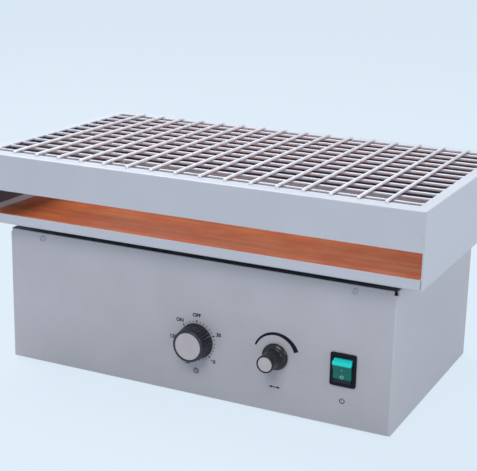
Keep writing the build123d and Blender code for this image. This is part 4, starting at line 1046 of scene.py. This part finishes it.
pick(lens, "verts", lambda vert: abs(vert.co.z) < closeness and at_front(vert))
bpy.ops.transform.translate(value=(0, rocker_valley, 0))
bpy.ops.mesh.select_mode(type="EDGE")
pick(lens, "edges", at_raised_end)
bpy.ops.mesh.bevel(offset=slope_size, segments=3, profile=slope_bulge)
close_editing(lens, angle=30)
round_edges = lens.modifiers.new("round_edges", "BEVEL")
round_edges.width = rocker_round
round_edges.segments = 2
round_edges.limit_method = "ANGLE"
round_edges.angle_limit = math.radians(40)
bpy.ops.object.modifier_apply(modifier="round_edges")
lens_plastic = skin_material(
    "rocker_plastic", rocker_teal, roughness=0.24, mottle=0.2, grain=1500, bump=0.06, specular=0.3
)
lens_tree = lens_plastic.node_tree
lens_place = lens_tree.nodes.new("ShaderNodeSeparateXYZ")
lens_coords = lens_tree.nodes["Texture Coordinate"].outputs["Object"]
lens_tree.links.new(lens_coords, lens_place.inputs["Vector"])
lens_height = lens_place.outputs["Z"]
# The band above this height is painted light, and the band below the lower one is painted shade.
painted_light_z = control_z + painted_light_from
sunk_z = control_z + sunk_from
painted_light_mask = add_range(lens_tree, lens_height, painted_light_z, painted_light_z + painted_light_fade, 0, 1)
sunk_shade_mask = add_range(lens_tree, lens_height, sunk_z - sunk_fade, sunk_z, 1, 0)
lens_colour = lens_tree.nodes["skin"].outputs["Color"]
lens_colour = add_colour_mix(lens_tree, "MIX", painted_light_mask, lens_colour, rocker_painted_light)
lens_colour = add_colour_mix(lens_tree, "MIX", sunk_shade_mask, lens_colour, sunk_shade_green)
lens_tree.links.new(lens_colour, lens_tree.nodes["Principled BSDF"].inputs["Base Color"])
lens.data.materials.append(lens_plastic)

mark_paint = skin_material(
    "rocker_mark_paint", mark_pale, roughness=0.5, mottle=0.1, grain=1500, bump=0.1
)
face_slope = math.atan2(rocker_valley, rocker_half)
rocker_bar = add_tick("rocker_bar", -dash_half, dash_half, mark_line)
rocker_ring = add_ring("rocker_ring", circle_radius, mark_line)
for mark, mark_z in ((rocker_bar, dash_z), (rocker_ring, circle_z)):
    face_y = -(rocker_front - rocker_valley) - abs(mark_z) * math.tan(face_slope)
    mark.location = (0, face_y - mark_lift, mark_z)
    mark.rotation_euler = (math.copysign(face_slope, mark_z), 0, 0)
    mark.data.materials.append(mark_paint)
lens = join_pieces("rocker_lens", [lens, rocker_bar, rocker_ring])
lens.location = (switch_x, rocker_axis_y, control_z)
lens.rotation_euler = (rocker_tilt, 0, 0)
lens = join_pieces("rocker_lens", [lens])
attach(lens, "switch_rocker")
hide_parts("rocker")


# Panel screws: pan heads with a square recess, of dark plated steel. They hold the back, the inlet,
# the base's edges and the circuit board's spacers. The two that hold the deck's front lip were
# painted over with the panel, so they hardly show.
screw_sides = 28
screw_radius = 0.0029
screw_height = 0.0017
shank_lift = 0.45
crown = [(0.25, 0.95), (0.20, 0.87), (0.10, 0.80)]
recess_half = 0.0016
recess_depth = 0.0011
core_half = 0.000275
near_core = 0.00005
screw_dark = (0.17, 0.17, 0.18)
rear_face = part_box("rear_panel")[1].y
inlet_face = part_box("power_inlet")[1].y
wrap_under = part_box("housing_wrap")[0].z
plate_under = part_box("base_plate")[0].z
laminate_sheet = 0.0016
board_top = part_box("board_spacers")[1].z + laminate_sheet
rear_rows = (0.017, 0.072, 0.119)
edge_x = 0.2005
base_y = 0.070
lip_x = 0.168
lip_z = 0.135
inlet_x = 0.150
inlet_z = 0.045
inlet_reach = 0.020
board_x = -0.128
board_y = 0.030
board_reach_x = 0.040
board_reach_y = 0.030
rear_twist = 40
inlet_twist = 0.7
base_twist = 0.3
under_twist = 0.8
over_twist = 0.5
corners = [(side, end) for side in (-1, 1) for end in (-1, 1)]
rear_screws = [(side * edge_x, z) for side in (-1, 1) for z in rear_rows]
inlet_screws = [(inlet_x + side * inlet_reach, inlet_z) for side in (-1, 1)]
lip_screws = [(side * lip_x, lip_z) for side in (-1, 1)]
base_screws = [(side * edge_x, end * base_y) for side, end in corners]
spacer_screws = [
    (board_x + side * board_reach_x, board_y + end * board_reach_y) for side, end in corners
]


def add_screw_head(name):
    """A pan head at the origin, facing the front: a disc drawn up, rounded over and recessed."""
    head = add_disc(name, screw_sides, screw_radius)
    push((0, -screw_height * shank_lift, 0))
    for lift, ratio in crown:
        push((0, -screw_height * lift, 0))
        scale_about((0, 0, 0), (ratio, 1, ratio))
    close_editing(head, angle=40)
    deselect()
    bpy.ops.mesh.primitive_cube_add(size=1, location=(0, -screw_height, 0))
    cutter = bpy.context.object
    bpy.ops.object.transform_apply(location=True, rotation=True, scale=True)
    open_for_editing(cutter)
    bpy.ops.mesh.select_all(action="SELECT")
    scale_about((0, -screw_height, 0), (2 * core_half, 2 * recess_depth, 2 * core_half))
    # The cutter's thin core is drawn out to a bar along x, and the bar to a square along z.
    for axis in (Vector((1, 0, 0)), Vector((0, 0, 1))):
        for side in (-1, 1):
            def on_core(face):
                out = face.calc_center_median().dot(axis) * side
                return face.normal.dot(axis) * side > facing and abs(out - core_half) < near_core

            pick(cutter, "faces", on_core)
            push(tuple(axis * side * (recess_half - core_half)))
    close_editing(cutter)
    recess = head.modifiers.new("square_recess", "BOOLEAN")
    recess.operation = "DIFFERENCE"
    recess.solver = "EXACT"
    recess.object = cutter
    deselect()
    head.select_set(True)
    bpy.context.view_layer.objects.active = head
    bpy.ops.object.modifier_apply(modifier="square_recess")
    bpy.data.objects.remove(cutter)
    return head


screw_pattern = add_screw_head("screw_pattern")
# The recesses of each row are left turned another way.
screw_seats = [((x, rear_face, z), (0, rear_twist * x, math.pi)) for x, z in rear_screws]
screw_seats += [((x, inlet_face, z), (0, inlet_twist, math.pi)) for x, z in inlet_screws]
screw_seats += [((x, y, wrap_under), (math.pi / 2, 0, base_twist)) for x, y in base_screws]
screw_seats += [((x, y, plate_under), (math.pi / 2, 0, under_twist)) for x, y in spacer_screws]
screw_seats += [((x, y, board_top), (-math.pi / 2, 0, over_twist)) for x, y in spacer_screws]
dark_heads = [copy_piece(screw_pattern, seat, turn) for seat, turn in screw_seats]
dark_row = join_pieces("panel_screw_heads", dark_heads)
screw_metal = skin_material(
    "screw_metal", screw_dark, roughness=0.36, mottle=0.15, spread=300, grain=1500, metallic=1.0
)
dark_row.data.materials.append(screw_metal)
painted_heads = []
for x, z in lip_screws:
    painted_heads.append(copy_piece(screw_pattern, (x, front_face, z), (0, over_twist, 0)))
painted_row = join_pieces("painted_screw_heads", painted_heads)
painted_row.data.materials.append(housing_paint)
bpy.data.objects.remove(screw_pattern)
for row in (dark_row, painted_row):
    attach(row, "base")
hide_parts("panel_screws")
finish_nodes(screw_metal, "panel_screws", "frame_screws", "tray_screws", "crank_bolt")


# Mains inlet and fuse holder: black mouldings in the back cover. The socket is screwed on from
# outside, and the holder stands in a round hole up to its collar.
inlet_black = (0.020, 0.020, 0.022)
inlet_plastic = skin_material(
    "inlet_plastic", inlet_black, roughness=0.45, mottle=0.15, grain=2400, bump=0.3
)
finish_nodes(inlet_plastic, "power_inlet", "fuse_holder")


# Bright parts of the slide and the crank: ground rods, posts, pins, spindle, bearings and shafts.
# The motor's plate, the spacers, the nuts and the controls' cans have the base plate's zinc.
steel_bright = (0.56, 0.56, 0.57)
ground_steel = skin_material(
    "ground_steel", steel_bright, roughness=0.22, mottle=0.06, spread=120, grain=2500, metallic=1.0
)
finish_nodes(
    ground_steel,
    "guide_rod_front",
    "guide_rod_rear",
    "tray_posts",
    "wrist_pin",
    "drive_crossbar",
    "crank_disc",
    "crank_spindle",
    "spindle_bearings",
    "motor_shaft",
    "timer_shaft",
    "speed_shaft",
)
finish_nodes(
    base_zinc, "motor_bracket", "board_spacers", "panel_nuts", "timer_body", "speed_control"
)


# Castings and sliders: aluminium with a grainy as-cast skin. They carry the spindle, the crank's
# pull on the tray and the tray itself.
cast_grey = (0.58, 0.58, 0.59)
cast_aluminium = skin_material(
    "cast_aluminium", cast_grey, roughness=0.50,
    mottle=0.12, spread=80, grain=700, bump=0.5, metallic=1.0,
)
finish_nodes(
    cast_aluminium,
    "bearing_pillar",
    "connecting_rod",
    "rod_brackets",
    "slider_front_left",
    "slider_front_right",
    "slider_rear_left",
    "slider_rear_right",
)


# Belt drive: two machined iron pulleys, a small one on the motor and a large one on the spindle,
# and a cloth-backed rubber belt between them.
iron_grey = (0.20, 0.20, 0.21)
grey_iron = skin_material(
    "grey_iron", iron_grey, roughness=0.48, mottle=0.2, spread=90, grain=900, bump=0.4, metallic=1.0
)
finish_nodes(grey_iron, "crank_pulley", "motor_pulley")
belt_black = (0.022, 0.022, 0.024)
belt_rubber = skin_material(
    "belt_rubber", belt_black, roughness=0.70, mottle=0.25, grain=1500, bump=0.5
)
finish_nodes(belt_rubber, "drive_belt")


# Bushes: plain bearings of sintered bronze, brown with oil. They are pressed into the eyes of the
# connecting rod and into the sliders.
bronze_brown = (0.42, 0.26, 0.11)
oiled_bronze = skin_material(
    "oiled_bronze", bronze_brown, roughness=0.42, mottle=0.15, spread=150, grain=1600, metallic=1.0
)
finish_nodes(oiled_bronze, "rod_bushes", "slider_bushes")


# Motor and electrics: an enamelled motor, a green laminate board with its parts, and a taped
# transformer, all standing on the base plate.
enamel_blue = (0.045, 0.052, 0.060)
laminate_green = (0.020, 0.105, 0.050)
tape_yellow = (0.42, 0.30, 0.06)
motor_enamel = skin_material(
    "motor_enamel", enamel_blue, roughness=0.40, mottle=0.15, grain=800, bump=0.35
)
finish_nodes(motor_enamel, "motor")
laminate = skin_material(
    "circuit_board", laminate_green, roughness=0.42, mottle=0.3, spread=120, grain=900
)
finish_nodes(laminate, "control_board")
winding_tape = skin_material(
    "winding_tape", tape_yellow, roughness=0.50, mottle=0.25, spread=120, grain=700
)
finish_nodes(winding_tape, "transformer")
